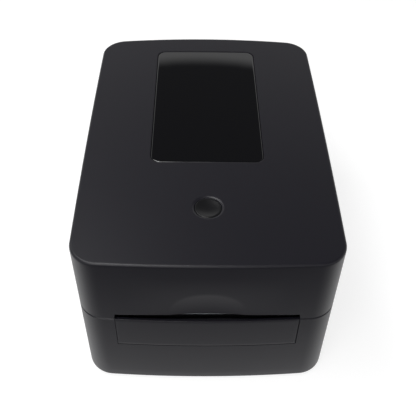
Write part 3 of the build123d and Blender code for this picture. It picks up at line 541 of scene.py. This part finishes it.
def build_materials():
    """Every finish, by the record's slot name."""
    ink = bpy.context.scene.finishes
    if "ABS, spark-eroded black" in bpy.data.materials:
        return {m["slot"]: m for m in bpy.data.materials if "slot" in m}
    along_x = (0.05, 1.0, 1.0)
    even = (1.0, 1.0, 1.0)
    finishes = {
        # black ABS from a spark-eroded mould: satin, with a grain just too fine to see
        "casing_plastic": moulded("ABS, spark-eroded black", ink.casing, 0.40, 0.45, 0.25),
        # polished smoked acrylic sheet: sharp reflections over black
        "window_smoke": smoked_acrylic("acrylic, smoked", ink.window),
        # the button is moulded smoother than the casing
        "button_plastic": moulded("ABS, fine black", ink.button, 0.30, 0.35, 0.15),
        # dark grey ABS of the inner moulding: matt, from a coarser mould
        "chassis_plastic": moulded("ABS, matt dark grey", ink.chassis, 0.55, 0.6, 0.35),
        # natural acetal: milky white, waxy
        "acetal_white": moulded("acetal, natural", ink.acetal, 0.35, 1.2, 0.1, 0.03),
        "acetal_black": moulded("acetal, black", ink.acetal_black, 0.38, 1.0, 0.1),
        # zinc-plated sheet steel: dull silver with rolling lines
        "zinc_steel": metal("steel, zinc-plated sheet", ink.zinc, 0.38, even, 1.5, 0.02),
        # centreless-ground shaft: fine lines round the bar
        "ground_steel": metal("steel, ground", ink.steel, 0.22, (1.0, 0.05, 0.05), 0.3, 0.005),
        # extruded aluminium: lines along the length
        "head_aluminium": metal("aluminium, extruded", ink.aluminium, 0.32, along_x, 0.4, 0.01),
        # glazed ceramic with its printed board: brown, smooth
        "head_ceramic": moulded("ceramic, glazed", ink.ceramic, 0.18, 2.0, 0.05, 0.05, 0.5),
        # ground silicone rubber: dull, with the wheel's fine marks
        "platen_rubber": moulded("silicone rubber, ground", ink.rubber, 0.62, 0.5, 0.4),
        # moulded rubber of the feet: almost no shine
        "foot_rubber": moulded("rubber, moulded", ink.foot, 0.75, 0.8, 0.5),
        # solder mask: glossy green with the tracks showing through
        "board_green": circuit_board("circuit board, green mask", ink.board),
        # moulded cases of the board parts: matt black
        "board_black": moulded("epoxy, moulded case", ink.nylon, 0.5, 0.5, 0.3),
        # black oxide on the motor's laminated case
        "motor_steel": metal("steel, black oxide", ink.motor, 0.45, even, 0.8, 0.02),
        # tinned shells of the sockets: brighter and smoother than the zinc
        "socket_metal": metal("steel, tinned", ink.zinc, 0.28, even, 1.0, 0.01),
        # drawn spring wire: greyer than the plated sheet, with a soft shine
        "spring_steel": metal("steel, spring wire", ink.spring, 0.3, even, 0.4, 0.01),
        # glass-filled nylon of the switch: satin with a faint mottling
        "switch_plastic": moulded("nylon, black", ink.nylon, 0.42, 0.7, 0.3),
    }
    for slot, material in finishes.items():
        material["slot"] = slot
    return finishes


# ---- Casing pieces ----------------------------------------------------------------------
def front_push(size, front, x, z):
    """How far the front is pushed in above the slot. A flat takes the bow out of the lip and
    fades with a cubic step above it. A thumb dish on top of it is a paraboloid."""
    above = z - (size["seam"] + size["seam_gap"] / 2 + front["slot_height"])
    half = front["flat_width"] / 2
    flat = size["front_bow"] * (2 * half / size["width"])**2 * np.maximum(1 - (x / half)**2, 0)
    share = np.clip(above / front["flat_height"], 0, 1)
    fade = 1 - share**2 * (3 - 2 * share)
    reach, rise, middle = front["dish_width"] / 2, front["dish_height"] / 2, front["dish_middle"]
    dish = np.maximum(1 - (x / reach)**2 - ((above - middle) / rise)**2, 0)
    return flat * fade + front["dish_depth"] * dish


def cover_shell():
    """The clamshell cover as one closed surface. The wall is a section carried round the plan,
    outside up and inside down. The roof is two ring-shaped zones, one round the window and one
    round the button, whose points run straight from the outer loop to the hole, on the drum."""
    size, front, top = sizes("casing"), sizes("front"), sizes("top")
    plan, columns, split, centre = layout()
    points, normals = plan.at(columns)
    x = points[:, 0]
    bottom = size["seam"] + size["seam_gap"] / 2
    at_front, at_rear = points[:, 1] < -END_Y, points[:, 1] > END_Y
    rim = np.full(len(x), bottom)
    lift = smooth_step(-np.abs(x), -SLOT_HALF, 0.5) * front["slot_height"]
    rim += np.where(at_front, lift, 0)
    _, base_spans = knuckle_spans()
    notch = in_spans(x, base_spans)
    rim += np.where(at_rear, notch * (KNUCKLE_RADIUS + KNUCKLE_PLAY - size["seam_gap"] / 2), 0)
    wall, edge, bevel = size["wall"], size["roof_edge"], size["seam_chamfer"] / 2

    def top_of(inset):
        """Height of the roof above the plan drawn in by inset."""
        place = points - inset * normals
        return roof_height(size, place[:, 0])

    shoulder = top_of(edge) - edge
    rows = [(wall, rim), (bevel + 0.15, rim), (bevel, rim), (0.0, rim + bevel), (0.0, rim + bevel + 0.3)]
    rows += [(0.0, rim + 1.0 + (shoulder - rim - 1.0) * t) for t in np.linspace(0, 1, 34)]
    turn = np.linspace(0, PI / 2, 9)[1:]
    rows += [(edge * (1 - np.cos(a)), shoulder + edge * np.sin(a)) for a in turn]
    rows += [(edge + ROOF_INSET, top_of(edge + ROOF_INSET))]
    outside = []
    for inset, height in rows:
        place = points - np.asarray(inset) * normals
        push = front_push(size, front, place[:, 0], height)
        place[:, 1] += np.where(at_front & (height < shoulder - 1), push, 0)
        outside.append(np.column_stack([place, np.broadcast_to(height, len(x))]))
    outside = np.stack(outside)
    inner_top = top_of(wall + ROOF_INSET) - wall
    rows = [(wall, rim + (inner_top - rim) * t) for t in np.linspace(0, 1, 20)]
    rows += [(wall + ROOF_INSET, inner_top)]
    inside = []
    for inset, height in rows:
        place = points - inset * normals
        push = front_push(size, front, place[:, 0], height)
        place[:, 1] += np.where(at_front, push, 0)
        inside.append(np.column_stack([place, height]))
    inside = np.stack(inside[::-1])
    parts = [(skin, grid_faces(len(skin), len(x), True)) for skin in (outside, inside)]

    # the roof's zones: (rear?, middle of the hole, loops of the hole as (grow, drop))
    hx, hy, radius = top["window_width"] / 2, top["window_length"] / 2, top["window_radius"]
    seat, ledge = top["window_thickness"], top["window_ledge"]
    button = (0.0, -size["depth"] / 2 + top["button_margin"])
    recess, bore = top["button_recess"], top["button_radius"] + BUTTON_PLAY
    blend = np.array([0, 0.08, 0.2, 0.35, 0.5, 0.65, 0.8, 0.9, 0.96])
    for rear in (True, False):
        middle = np.array(centre if rear else button)
        outer = zone(plan, columns, split, rear, edge + ROOF_INSET)
        under = zone(plan, columns, split, rear, wall + ROOF_INSET)
        rays = outer - middle
        if rear:
            hole = [(0.9, 0.0), (0.35, 0.0), (0.12, 0.08), (0.0, 0.3), (0.0, seat), (-ledge, seat),
                    (-ledge, wall)]
            loops = [rounded_rectangle(rays, hx + grow, hy + grow, max(radius + grow, 0.5)) + middle
                     for grow, _ in hole]
        else:
            unit = rays / np.linalg.norm(rays, axis=1)[:, None]
            fall = np.linspace(0, PI, 9)
            hole = [(recess + 0.8, 0.0)]
            hole += [(recess - (recess - bore - 0.2) * a / PI, 0.32 * (1 - np.cos(a))) for a in fall]
            hole += [(bore, 0.95), (bore, wall)]
            loops = [unit * reach + middle for reach, _ in hole]
        first = loops[0]
        sheet = [outer + (first - outer) * t for t in blend] + loops
        drop = [0.0] * len(blend) + [fallen for _, fallen in hole]
        height = [roof_height(size, loop[:, 0]) - d for loop, d in zip(sheet, drop)]
        last = loops[-1]
        back = [under + (last - under) * t for t in blend[::-1]]
        sheet += back
        height += [roof_height(size, loop[:, 0]) - wall for loop in back]
        surface = stack(sheet, height)
        parts.append((surface, grid_faces(len(surface), len(outer), True)))
    return parts


def window_lens():
    """A sheet with the window's outline that follows the drum of the roof: rings shrink to the
    middle on both faces, and the top edge is rounded."""
    size, top = sizes("casing"), sizes("top")
    plan, columns, split, centre = layout()
    rays = zone(plan, columns, split, True, size["roof_edge"] + ROOF_INSET) - np.array(centre)
    hx, hy, radius = top["window_width"] / 2, top["window_length"] / 2, top["window_radius"]
    thick = top["window_thickness"]
    turn = np.linspace(PI / 2, 0, 12)
    rows = [(LENS_GAP + LENS_EDGE * (1 - np.cos(a)), 0.1 + LENS_EDGE * (1 - np.sin(a))) for a in turn]
    rim = [rounded_rectangle(rays, hx - inset, hy - inset, radius - inset) for inset, _ in rows]
    drop = [fallen for _, fallen in rows]
    inner = rounded_rectangle(rays, hx - 2.0, hy - 2.0, radius - 2.0)
    shrink = [0.0, 0.35, 0.7, 0.95, 1.0]
    sheet = [inner * t for t in shrink] + rim + [rim[-1]] + [inner * t for t in shrink[::-1]]
    drop = [0.1] * 5 + drop + [thick] + [thick] * 5
    sheet = [loop + centre for loop in sheet]
    surface = stack(sheet, [roof_height(size, loop[:, 0]) - d for loop, d in zip(sheet, drop)])
    return [(surface[::-1], grid_faces(len(surface), len(rays), True))]


def turned(radii, heights, centre, count=96):
    """A form turned about an upright axis: each (radius, height) pair sweeps a circle."""
    angle = np.linspace(0, 2 * PI, count, endpoint=False)
    ring = np.stack([np.cos(angle), np.sin(angle)], axis=-1)
    loops = [ring * radius + centre for radius in radii]
    surface = stack(loops, [np.full(count, height) for height in heights])
    return surface, grid_faces(len(surface), count, True)


def button_cap():
    """The feed button: a shallow bowl in its face, a rounded rim, a flange and a stem."""
    size, top = sizes("casing"), sizes("top")
    centre = (0.0, -size["depth"] / 2 + top["button_margin"])
    radius, dish, height = top["button_radius"], top["button_dish"], size["height"] - 0.45
    share = np.linspace(0, 1, 15)
    bowl_r, bowl_z = (radius - 1.1) * share, height - dish * (1 - share**2) - 0.02
    turn = np.linspace(PI / 2, 0, 7)
    rim_r, rim_z = radius - 0.8 + 0.8 * np.cos(turn), height - 0.8 + 0.8 * np.sin(turn)
    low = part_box("feed_button")[0][2] / MM
    under = size["height"] - size["wall"] - 0.5
    radii = [*bowl_r, *rim_r, radius, radius + 1.6, radius + 1.6, 2.0, 2.0, 0.0]
    heights = [*bowl_z, *rim_z, under, under, under - 1.6, under - 1.6, low, low]
    return [turned(radii[::-1], heights[::-1], centre)]


def base_shell():
    """The base tray as one closed surface: a section carried round the plan, outside up, over
    the rim and inside down, with the underside and the floor drawn in to the middle. The panel
    pocket is a step in the wall, and the rear openings are left out and given sides."""
    size, front = sizes("casing"), sizes("front")
    plan, columns, _, _ = layout()
    points, normals = plan.at(columns)
    x, count = points[:, 0], len(points)
    at_front, at_rear = points[:, 1] < -END_Y, points[:, 1] > END_Y
    wall, edge, bevel = size["wall"], size["base_edge"], size["seam_chamfer"]
    low, crest = size["foot_height"], size["seam"] - size["seam_gap"] / 2
    cover_spans, _ = knuckle_spans()
    notch = in_spans(x, cover_spans)
    rim = crest - np.where(at_rear, notch * (KNUCKLE_RADIUS + KNUCKLE_PLAY - size["seam_gap"] / 2), 0)
    half, ledge = front["panel_width"] / 2, crest - front["panel_height"]
    pocket = at_front & (np.abs(x) < half)

    holes = rear_holes()
    levels = np.unique(np.round([edge for hole in holes for edge in hole[2:]], 4))
    wall_top = crest - KNUCKLE_RADIUS - 1.2
    even = np.linspace(low + edge, wall_top, 12)
    levels = np.unique(np.concatenate([levels, [ledge - 0.02, ledge], even]))
    turn = np.linspace(0, PI / 2, 8)[:-1]
    rows = [(edge * (1 - np.sin(a)), low + edge * (1 - np.cos(a)), False) for a in turn]
    rows += [(0.0, level, level >= ledge) for level in levels]
    rows += [(0.0, rim - bevel - 0.3, True), (0.0, rim - bevel, True), (bevel, rim, True),
             (bevel + 0.3, rim, True)]
    outside = []
    for inset, height, deep in rows:
        sunk = np.where(pocket & deep, np.maximum(inset, front["panel_depth"]), inset)
        outside.append(np.column_stack([points - sunk[:, None] * normals, np.broadcast_to(height, count)]))
    floor = low + wall
    inner_levels = np.unique(np.concatenate([[floor], levels[levels > floor]]))[::-1]
    inside = [np.column_stack([points - wall * normals, rim])]
    inside += [np.column_stack([points - wall * normals, np.full(count, level)]) for level in inner_levels]
    shrink = np.array([0.97, 0.9, 0.5, 0.0])
    bottom = [np.column_stack([(points - edge * normals) * t, np.full(count, low)]) for t in shrink[::-1]]
    deck = [np.column_stack([(points - wall * normals) * t, np.full(count, floor)]) for t in shrink]
    surface = np.stack(bottom + outside + inside + deck)
    faces = grid_faces(len(surface), count, True)

    # openings: drop the faces of both skins inside each hole, then join the two edges
    height = surface[:, :, 2]
    out_first = len(bottom)
    out_rows = np.arange(out_first, out_first + len(outside))
    in_rows = np.arange(out_first + len(outside), out_first + len(outside) + len(inside))
    gone = np.zeros((len(surface) - 1, count), bool)
    sides = []
    rear_columns = np.where(at_rear)[0]
    for x_low, x_high, z_low, z_high in holes:
        first = rear_columns[np.argmin(np.abs(x[rear_columns] - x_high))]
        last = rear_columns[np.argmin(np.abs(x[rear_columns] - x_low))]
        span = np.arange(first, last + 1)
        rim_out = {z: out_rows[np.argmin(np.abs(height[out_rows, first] - z))] for z in (z_low, z_high)}
        rim_in = {z: in_rows[np.argmin(np.abs(height[in_rows, first] - z))] for z in (z_low, z_high)}
        gone[rim_out[z_low]:rim_out[z_high], first:last] = True
        gone[rim_in[z_high]:rim_in[z_low], first:last] = True
        tall_out = np.arange(rim_out[z_low], rim_out[z_high] + 1)
        tall_in = np.arange(rim_in[z_high], rim_in[z_low] + 1)[::-1]
        for a, b in ((rim_out[z_low] * count + span, rim_in[z_low] * count + span),
                     (rim_in[z_high] * count + span, rim_out[z_high] * count + span),
                     (tall_in * count + first, tall_out * count + first),
                     (tall_out * count + last, tall_in * count + last)):
            sides.append(np.stack([a[:-1], a[1:], b[1:], b[:-1]], axis=-1))
    faces = np.vstack([faces[~gone.ravel()]] + sides)
    return [(surface, faces)]


def panel_plate():
    """The snap-in blank: the front face between the panel's edges, with its rim rolled back."""
    size, front = sizes("casing"), sizes("front")
    plan = Plan(size)
    crest = size["seam"] - size["seam_gap"] / 2
    half, gap = front["panel_width"] / 2 - front["panel_gap"], front["panel_gap"]
    low, high = crest - front["panel_height"] + gap, crest
    turn = np.linspace(0, PI / 2, 4)
    fall, back_off = PANEL_ROLL * (1 - np.cos(turn)), PANEL_ROLL * (1 - np.sin(turn))

    def across(start, end, count):
        """Places from start to end with both rolled edges, and how far each is rolled back."""
        flat = np.linspace(start + PANEL_ROLL, end - PANEL_ROLL, count)[1:-1]
        places = np.concatenate([start + back_off[::-1], flat, end - back_off])
        return places, np.concatenate([fall[::-1], np.zeros(len(flat)), fall])

    x, fall_x = across(-half, half, 61)
    z, fall_z = across(low, high, 13)
    points, normals = plan.at(plan.front_at(x))
    sunk = 0.05 + np.maximum(fall_x[None, :], fall_z[:, None])
    tall = np.broadcast_to(z[:, None], sunk.shape)
    outer = np.dstack([points[None, :, k] - sunk * normals[:, k] for k in (0, 1)] + [tall])
    deep = points - (front["panel_depth"] - 0.2) * normals
    back = np.dstack([np.broadcast_to(deep[None, :, k], sunk.shape) for k in (0, 1)] + [tall])
    rows, cols = sunk.shape
    skin = grid_faces(rows, cols, False)
    rim = np.concatenate([np.arange(cols), np.arange(1, rows) * cols + cols - 1,
                          (rows - 1) * cols + np.arange(cols - 2, -1, -1),
                          np.arange(rows - 2, 0, -1) * cols])
    flat = np.vstack([outer.reshape(-1, 3), back.reshape(-1, 3)])
    offset = rows * cols
    side = np.stack([rim, rim + offset, np.roll(rim, -1) + offset, np.roll(rim, -1)], axis=-1)
    return [(flat, np.vstack([skin, skin[:, ::-1] + offset, side]))]


def extruded(outline, x_low, x_high):
    """A prism along X from a closed (y, z) outline that its first point sees all of, with a
    0.25 mm bevel at both ends."""
    middle = outline.mean(axis=0)
    bevel = 0.25
    shrink = 1 - bevel / np.abs(outline - middle).max()
    loops = [(x_low, 0.0), (x_low, shrink), (x_low + bevel, 1.0),
             (x_high - bevel, 1.0), (x_high, shrink), (x_high, 0.0)]
    surface = np.stack([np.column_stack([np.full(len(outline), at), middle + (outline - middle) * scale])
                        for at, scale in loops])
    return surface, grid_faces(len(surface), len(outline), True)


def knuckles(cover):
    """Hinge knuckles: a half barrel on a web that tapers into the rear wall."""
    size = sizes("casing")
    rear, seam, radius = size["depth"] / 2, size["seam"], KNUCKLE_RADIUS
    inner, sign = rear - size["front_bow"], (1 if cover else -1)
    turn = np.linspace(0, PI, 17)
    barrel = np.column_stack([rear + radius * np.cos(turn), seam - sign * radius * np.sin(turn)])
    web = np.array([[inner + 1.4, seam], [inner + 1.4, seam + sign * 11], [rear + radius, seam + sign * 3]])
    outline = np.vstack([barrel, web])
    if not cover:
        outline = outline[::-1]
    spans = knuckle_spans()[0 if cover else 1]
    return [extruded(outline[::-1], *span) for span in spans]


def coil(centre, z_low, z_high, radius, wire, turns):
    """A compression spring: a helix of the coil's radius whose pitch closes up at both ends, with
    a round wire carried along it square to the line."""
    share = np.linspace(0, 1, 24 * turns + 1)
    angle = 2 * PI * turns * share
    rise = share**2 * (3 - 2 * share) * (z_high - z_low - 2 * wire) + z_low + wire
    line = np.column_stack([radius * np.cos(angle), radius * np.sin(angle), rise]) + [*centre, 0.0]
    outward = np.column_stack([np.cos(angle), np.sin(angle), np.zeros(len(angle))])
    around = np.linspace(0, 2 * PI, 8, endpoint=False)[:, None]
    upward = np.array([0, 0, 1.0])
    loops = line[:, None] + wire * (np.cos(around) * outward[:, None] + np.sin(around) * upward)
    ends = [np.repeat(line[[k], None], 8, axis=1) for k in (0, -1)]
    surface = np.concatenate([ends[0], loops, ends[1]])
    return surface[::-1], grid_faces(len(surface), 8, True)


def pan_screw(x, y, z, radius=2.8, tall=1.9):
    """A pan-head screw: a superellipse turned about Z, with a cross recess that falls away from
    its middle along both arms."""
    reach = np.concatenate([np.linspace(0, 0.62, 15), [0.72, 0.82, 0.9, 0.95, 0.98, 1.0, 1.0]])
    angle = np.linspace(0, 2 * PI, 64, endpoint=False)
    across, along = reach[:, None] * np.cos(angle), reach[:, None] * np.sin(angle)
    dome = tall * np.maximum(1 - reach**4, 0)[:, None] ** 0.5 * np.ones(64)
    dome[-1] = 0.0
    narrow, wide = np.minimum(abs(across), abs(along)), np.maximum(abs(across), abs(along))
    recess = 1.1 * (1 - smooth_step(narrow, 0.14, 0.04)) * (1 - smooth_step(wide, 0.5, 0.07))
    surface = np.dstack([x + radius * across, y + radius * along, z + dome - recess])
    base = np.broadcast_to([x, y, z], (1, 64, 3))
    surface = np.concatenate([surface, base])
    return surface[::-1], grid_faces(len(surface), 64, True)


# ---- Studio, in metres -----------------------------------------------------------------------
TABLE_HALF, TABLE_GLOW = 30, 0.80
CARD_PALE, CARD_BLACK = -0.152, -0.262  # along Y, in front of the printer: pale here, black there; a painted reflection card that only the front's reflections see
CARD_END, CARD_HALF, CARD_LIFT = -1.2, 0.8, 0.0005
REFLECTION_CARD_GLOW = (0.02, 0.75)                # glow of the painted reflection at its black and at its pale end
WALL_TOP, WALL_FADE = 0.545, 0.008      # sine of the elevation where the walls end
WALL_GLOW, CEILING_GLOW = 0.66, 0.07
# name, place, aim, width, height (metres), power (watts)
LIGHTS = (
    ("strip_overhead", (-0.40, -0.10, 1.2), (-0.1, 0.0, 0.1), 1.3, 0.30, 11.0),
    ("softbox_front", (-0.45, -1.10, 1.0), (0.0, 0.0, 0.1), 1.0, 0.40, 5.0),
)
CAMERA_PLACE = (-9.51, -429.17, 498.72)  # millimetres, from the casing's middle
CAMERA_PITCH, CAMERA_YAW, CAMERA_ROLL = np.radians([45.749, 1.596, 1.341])
CAMERA_SENSOR, CAMERA_LENS = 36.0, 56.57


# ---- Operators ------------------------------------------------------------------------------
class PRINTER_OT_cover(bpy.types.Operator):
    """Builds the clamshell cover"""
    bl_idname = "label_printer.cover"
    bl_label = "Cover"

    def execute(self, context):
        finish = build_materials()["casing_plastic"]
        shell = make_piece("cover_shell", cover_shell() + knuckles(True), finish, "cover")
        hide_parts("top_cover")
        return {"FINISHED"}


class PRINTER_OT_window(bpy.types.Operator):
    """Builds the smoked window"""
    bl_idname = "label_printer.window"
    bl_label = "Window"

    def execute(self, context):
        finish = build_materials()["window_smoke"]
        lens = make_piece("window_lens", window_lens(), finish, "cover")
        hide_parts("cover_window")
        return {"FINISHED"}


class PRINTER_OT_button(bpy.types.Operator):
    """Builds the feed button"""
    bl_idname = "label_printer.button"
    bl_label = "Feed button"

    def execute(self, context):
        finish = build_materials()["button_plastic"]
        cap = make_piece("button_cap", button_cap(), finish, "feed_button")
        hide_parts("feed_button")
        return {"FINISHED"}


class PRINTER_OT_base(bpy.types.Operator):
    """Builds the base tray and the blank panel"""
    bl_idname = "label_printer.base"
    bl_label = "Base"

    def execute(self, context):
        finish = build_materials()["casing_plastic"]
        tray = make_piece("base_shell", base_shell() + knuckles(False), finish, "base")
        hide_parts("base_housing")
        plate = make_piece("panel_plate", panel_plate(), finish, "base")
        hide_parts("front_panel")
        return {"FINISHED"}


class PRINTER_OT_hardware(bpy.types.Operator):
    """Builds the head's springs and the screws of the inner moulding"""
    bl_idname = "label_printer.hardware"
    bl_label = "Springs and screws"

    def execute(self, context):
        finishes = build_materials()
        size = sizes("casing")
        low, high = (np.array(corner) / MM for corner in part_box("head_springs"))
        outer = (high[1] - low[1]) / 2
        middle, radius = (low[1] + high[1]) / 2, outer - SPRING_WIRE
        springs = [coil((x, middle), low[2], high[2], radius, SPRING_WIRE, SPRING_TURNS)
                   for x in (low[0] + outer, high[0] - outer)]
        wires = make_piece("spring_coils", springs, finishes["spring_steel"], "print_head",
                           sharp=180.0)
        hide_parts("head_springs")
        deck = size["seam"] - size["seam_gap"] / 2 - DECK_DROP
        screws = [pan_screw(x, y, deck) for x, y in SCREWS]
        make_piece("deck_screws", screws, finishes["zinc_steel"], "base", sharp=40.0)
        return {"FINISHED"}


class PRINTER_OT_finishes(bpy.types.Operator):
    """Gives every remaining CAD node its finish"""
    bl_idname = "label_printer.finishes"
    bl_label = "Finishes"

    def execute(self, context):
        finishes = build_materials()
        for part in frame["record"]["subparts"]:
            node = frame["nodes"][part["node"]]
            for place in node.material_slots:
                place.link = "OBJECT"
                place.material = finishes[part["material_slot"]]
        return {"FINISHED"}


def stage_sheet(name, material, x, y, z):
    """A flat sheet of the studio over the spans x and y."""
    corners = [(x[0], y[0], z), (x[1], y[0], z), (x[1], y[1], z), (x[0], y[1], z)]
    mesh = bpy.data.meshes.new(name)
    mesh.from_pydata(corners, [], [(0, 1, 2, 3)])
    mesh.materials.append(material)
    sheet = bpy.data.objects.new(name, mesh)
    bpy.context.scene.collection.objects.link(sheet)
    return sheet


def lit_table(colours):
    """An opal glass table that glows from below, as for pictures on plain white."""
    opal, _, _ = new_material("opal glass table, lit from below", {
        "Base Color": linear(colours.backdrop), "Roughness": 0.9,
        "Emission Color": (1, 1, 1, 1), "Emission Strength": TABLE_GLOW})
    reach = (-TABLE_HALF, TABLE_HALF)
    stage_sheet("studio_floor", opal, reach, reach, 0.0)


def painted_reflection_card(colours):
    """A card on the table that glows, pale near the printer and black further out: a painted reflection. It
    only darkens what
    the front reflects: it isn't seen itself, casts no shadow and lights nothing."""
    graded, tree, surface = new_material("graded card, pale to black", {
        "Base Color": linear(colours.card), "Roughness": 1.0, "Specular IOR Level": 0.0,
        "Emission Color": (1, 1, 1, 1)})
    along = add(tree, "ShaderNodeSeparateXYZ", i0=object_place(tree)).outputs["Y"]
    glow = add(tree, "ShaderNodeMapRange", {
        "From Min": CARD_BLACK, "From Max": CARD_PALE,
        "To Min": REFLECTION_CARD_GLOW[0], "To Max": REFLECTION_CARD_GLOW[1]}, Value=along)
    tree.links.new(glow.outputs[0], surface.inputs["Emission Strength"])
    card = stage_sheet("painted_reflection_card", graded, (-CARD_HALF, CARD_HALF), (CARD_END, CARD_PALE), CARD_LIFT)
    # painted reflection: only glossy rays see the card, and its glow sets how dark the front looks
    card.visible_camera = card.visible_shadow = card.visible_diffuse = False


def white_walls():
    """Glowing walls all round up to WALL_TOP, with a dark ceiling above them."""
    world = bpy.data.worlds.new("white walls under a dark ceiling")
    world.use_nodes = True
    tree = world.node_tree
    direction = add(tree, "ShaderNodeTexCoord").outputs["Generated"]
    rise = add(tree, "ShaderNodeSeparateXYZ", i0=direction).outputs["Z"]
    wall = add(tree, "ShaderNodeMapRange", {
        "interpolation_type": "SMOOTHSTEP", "From Min": WALL_TOP - WALL_FADE,
        "From Max": WALL_TOP + WALL_FADE, "To Min": WALL_GLOW, "To Max": CEILING_GLOW}, Value=rise)
    tree.links.new(wall.outputs[0], tree.nodes["Background"].inputs["Strength"])
    tree.nodes["Background"].inputs["Color"].default_value = (1, 1, 1, 1)
    return world


class PRINTER_OT_stage(bpy.types.Operator):
    """Sets the table, the painted reflection card, the walls, the soft lights and the camera"""
    bl_idname = "label_printer.stage"
    bl_label = "Stage"

    def execute(self, context):
        scene = context.scene
        lit_table(scene.finishes)
        painted_reflection_card(scene.finishes)
        scene.world = white_walls()
        for name, place, aim, wide, tall, power in LIGHTS:
            lamp = bpy.data.lights.new(name, "AREA")
            lamp.shape, lamp.size, lamp.size_y, lamp.energy = "RECTANGLE", wide, tall, power
            holder = bpy.data.objects.new(name, lamp)
            holder.visible_camera = False
            scene.collection.objects.link(holder)
            look(holder, np.array(place), np.array(aim))
        scene.view_settings.view_transform = "Standard"
        scene.camera = front_camera(scene)
        return {"FINISHED"}


def look(holder, place, aim, roll=0.0):
    """Puts a lamp or camera at place with its -Z axis on aim."""
    back = (place - aim) / np.linalg.norm(place - aim)
    right = np.cross((0, 0, 1), back)
    long = np.linalg.norm(right)
    right = right / long if long > 1e-6 else np.array([1.0, 0, 0])  # aimed straight down
    up = np.cross(back, right)
    side = np.cos(roll) * right + np.sin(roll) * up
    rise = -np.sin(roll) * right + np.cos(roll) * up
    matrix = np.eye(4)
    matrix[:3, 0], matrix[:3, 1], matrix[:3, 2], matrix[:3, 3] = side, rise, back, place
    holder.matrix_world = Matrix(matrix.tolist())


def front_camera(scene):
    """A camera in front of and above the printer, looking down at 46 degrees."""
    lens = bpy.data.cameras.new("studio_camera")
    lens.sensor_width = CAMERA_SENSOR
    lens.lens = CAMERA_LENS
    camera = bpy.data.objects.new("studio_camera", lens)
    scene.collection.objects.link(camera)
    pitch, yaw = CAMERA_PITCH, CAMERA_YAW
    ahead = np.array([np.sin(yaw) * np.cos(pitch), np.cos(yaw) * np.cos(pitch), -np.sin(pitch)])
    place = (np.array(CAMERA_PLACE) + (0.0, SHELL_SHIFT, 0.0)) * MM
    look(camera, place, place + ahead, CAMERA_ROLL)
    return camera


class PRINTER_PT_panel(bpy.types.Panel):
    """Lists the printer's pieces in the sidebar"""
    bl_idname = "PRINTER_PT_panel"
    bl_label = "Label Printer"
    bl_space_type = "VIEW_3D"
    bl_region_type = "UI"
    bl_category = "Label Printer"

    def draw(self, context):
        """Every size and colour in a box of its own, then a button for each operator."""
        for group in ("casing", "front", "top", "finishes"):
            values = getattr(context.scene, group)
            box = self.layout.box()
            for key in values.__annotations__:
                box.prop(values, key)
        for operator in OPERATORS:
            self.layout.operator(operator.bl_idname)


GROUPS = {"casing": CasingSizes, "front": FrontSizes, "top": TopSizes, "finishes": FinishColours}
OPERATORS = (PRINTER_OT_stage, PRINTER_OT_base, PRINTER_OT_cover, PRINTER_OT_window,
             PRINTER_OT_button, PRINTER_OT_hardware, PRINTER_OT_finishes)


def register():
    """Adds the classes and hangs the property groups on the scene."""
    for kind in (*GROUPS.values(), *OPERATORS, PRINTER_PT_panel):
        bpy.utils.register_class(kind)
    for name, kind in GROUPS.items():
        setattr(bpy.types.Scene, name, bpy.props.PointerProperty(type=kind))


def unregister():
    """Takes off what register added."""
    for name in GROUPS:
        delattr(bpy.types.Scene, name)
    for kind in reversed((*GROUPS.values(), *OPERATORS, PRINTER_PT_panel)):
        bpy.utils.unregister_class(kind)


def main():
    """Builds the printer around the CAD frame."""
    register()
    bpy.ops.label_printer.stage()
    bpy.ops.label_printer.base()
    bpy.ops.label_printer.cover()
    bpy.ops.label_printer.window()
    bpy.ops.label_printer.button()
    bpy.ops.label_printer.hardware()
    bpy.ops.label_printer.finishes()


if __name__ == "__main__":
    main()
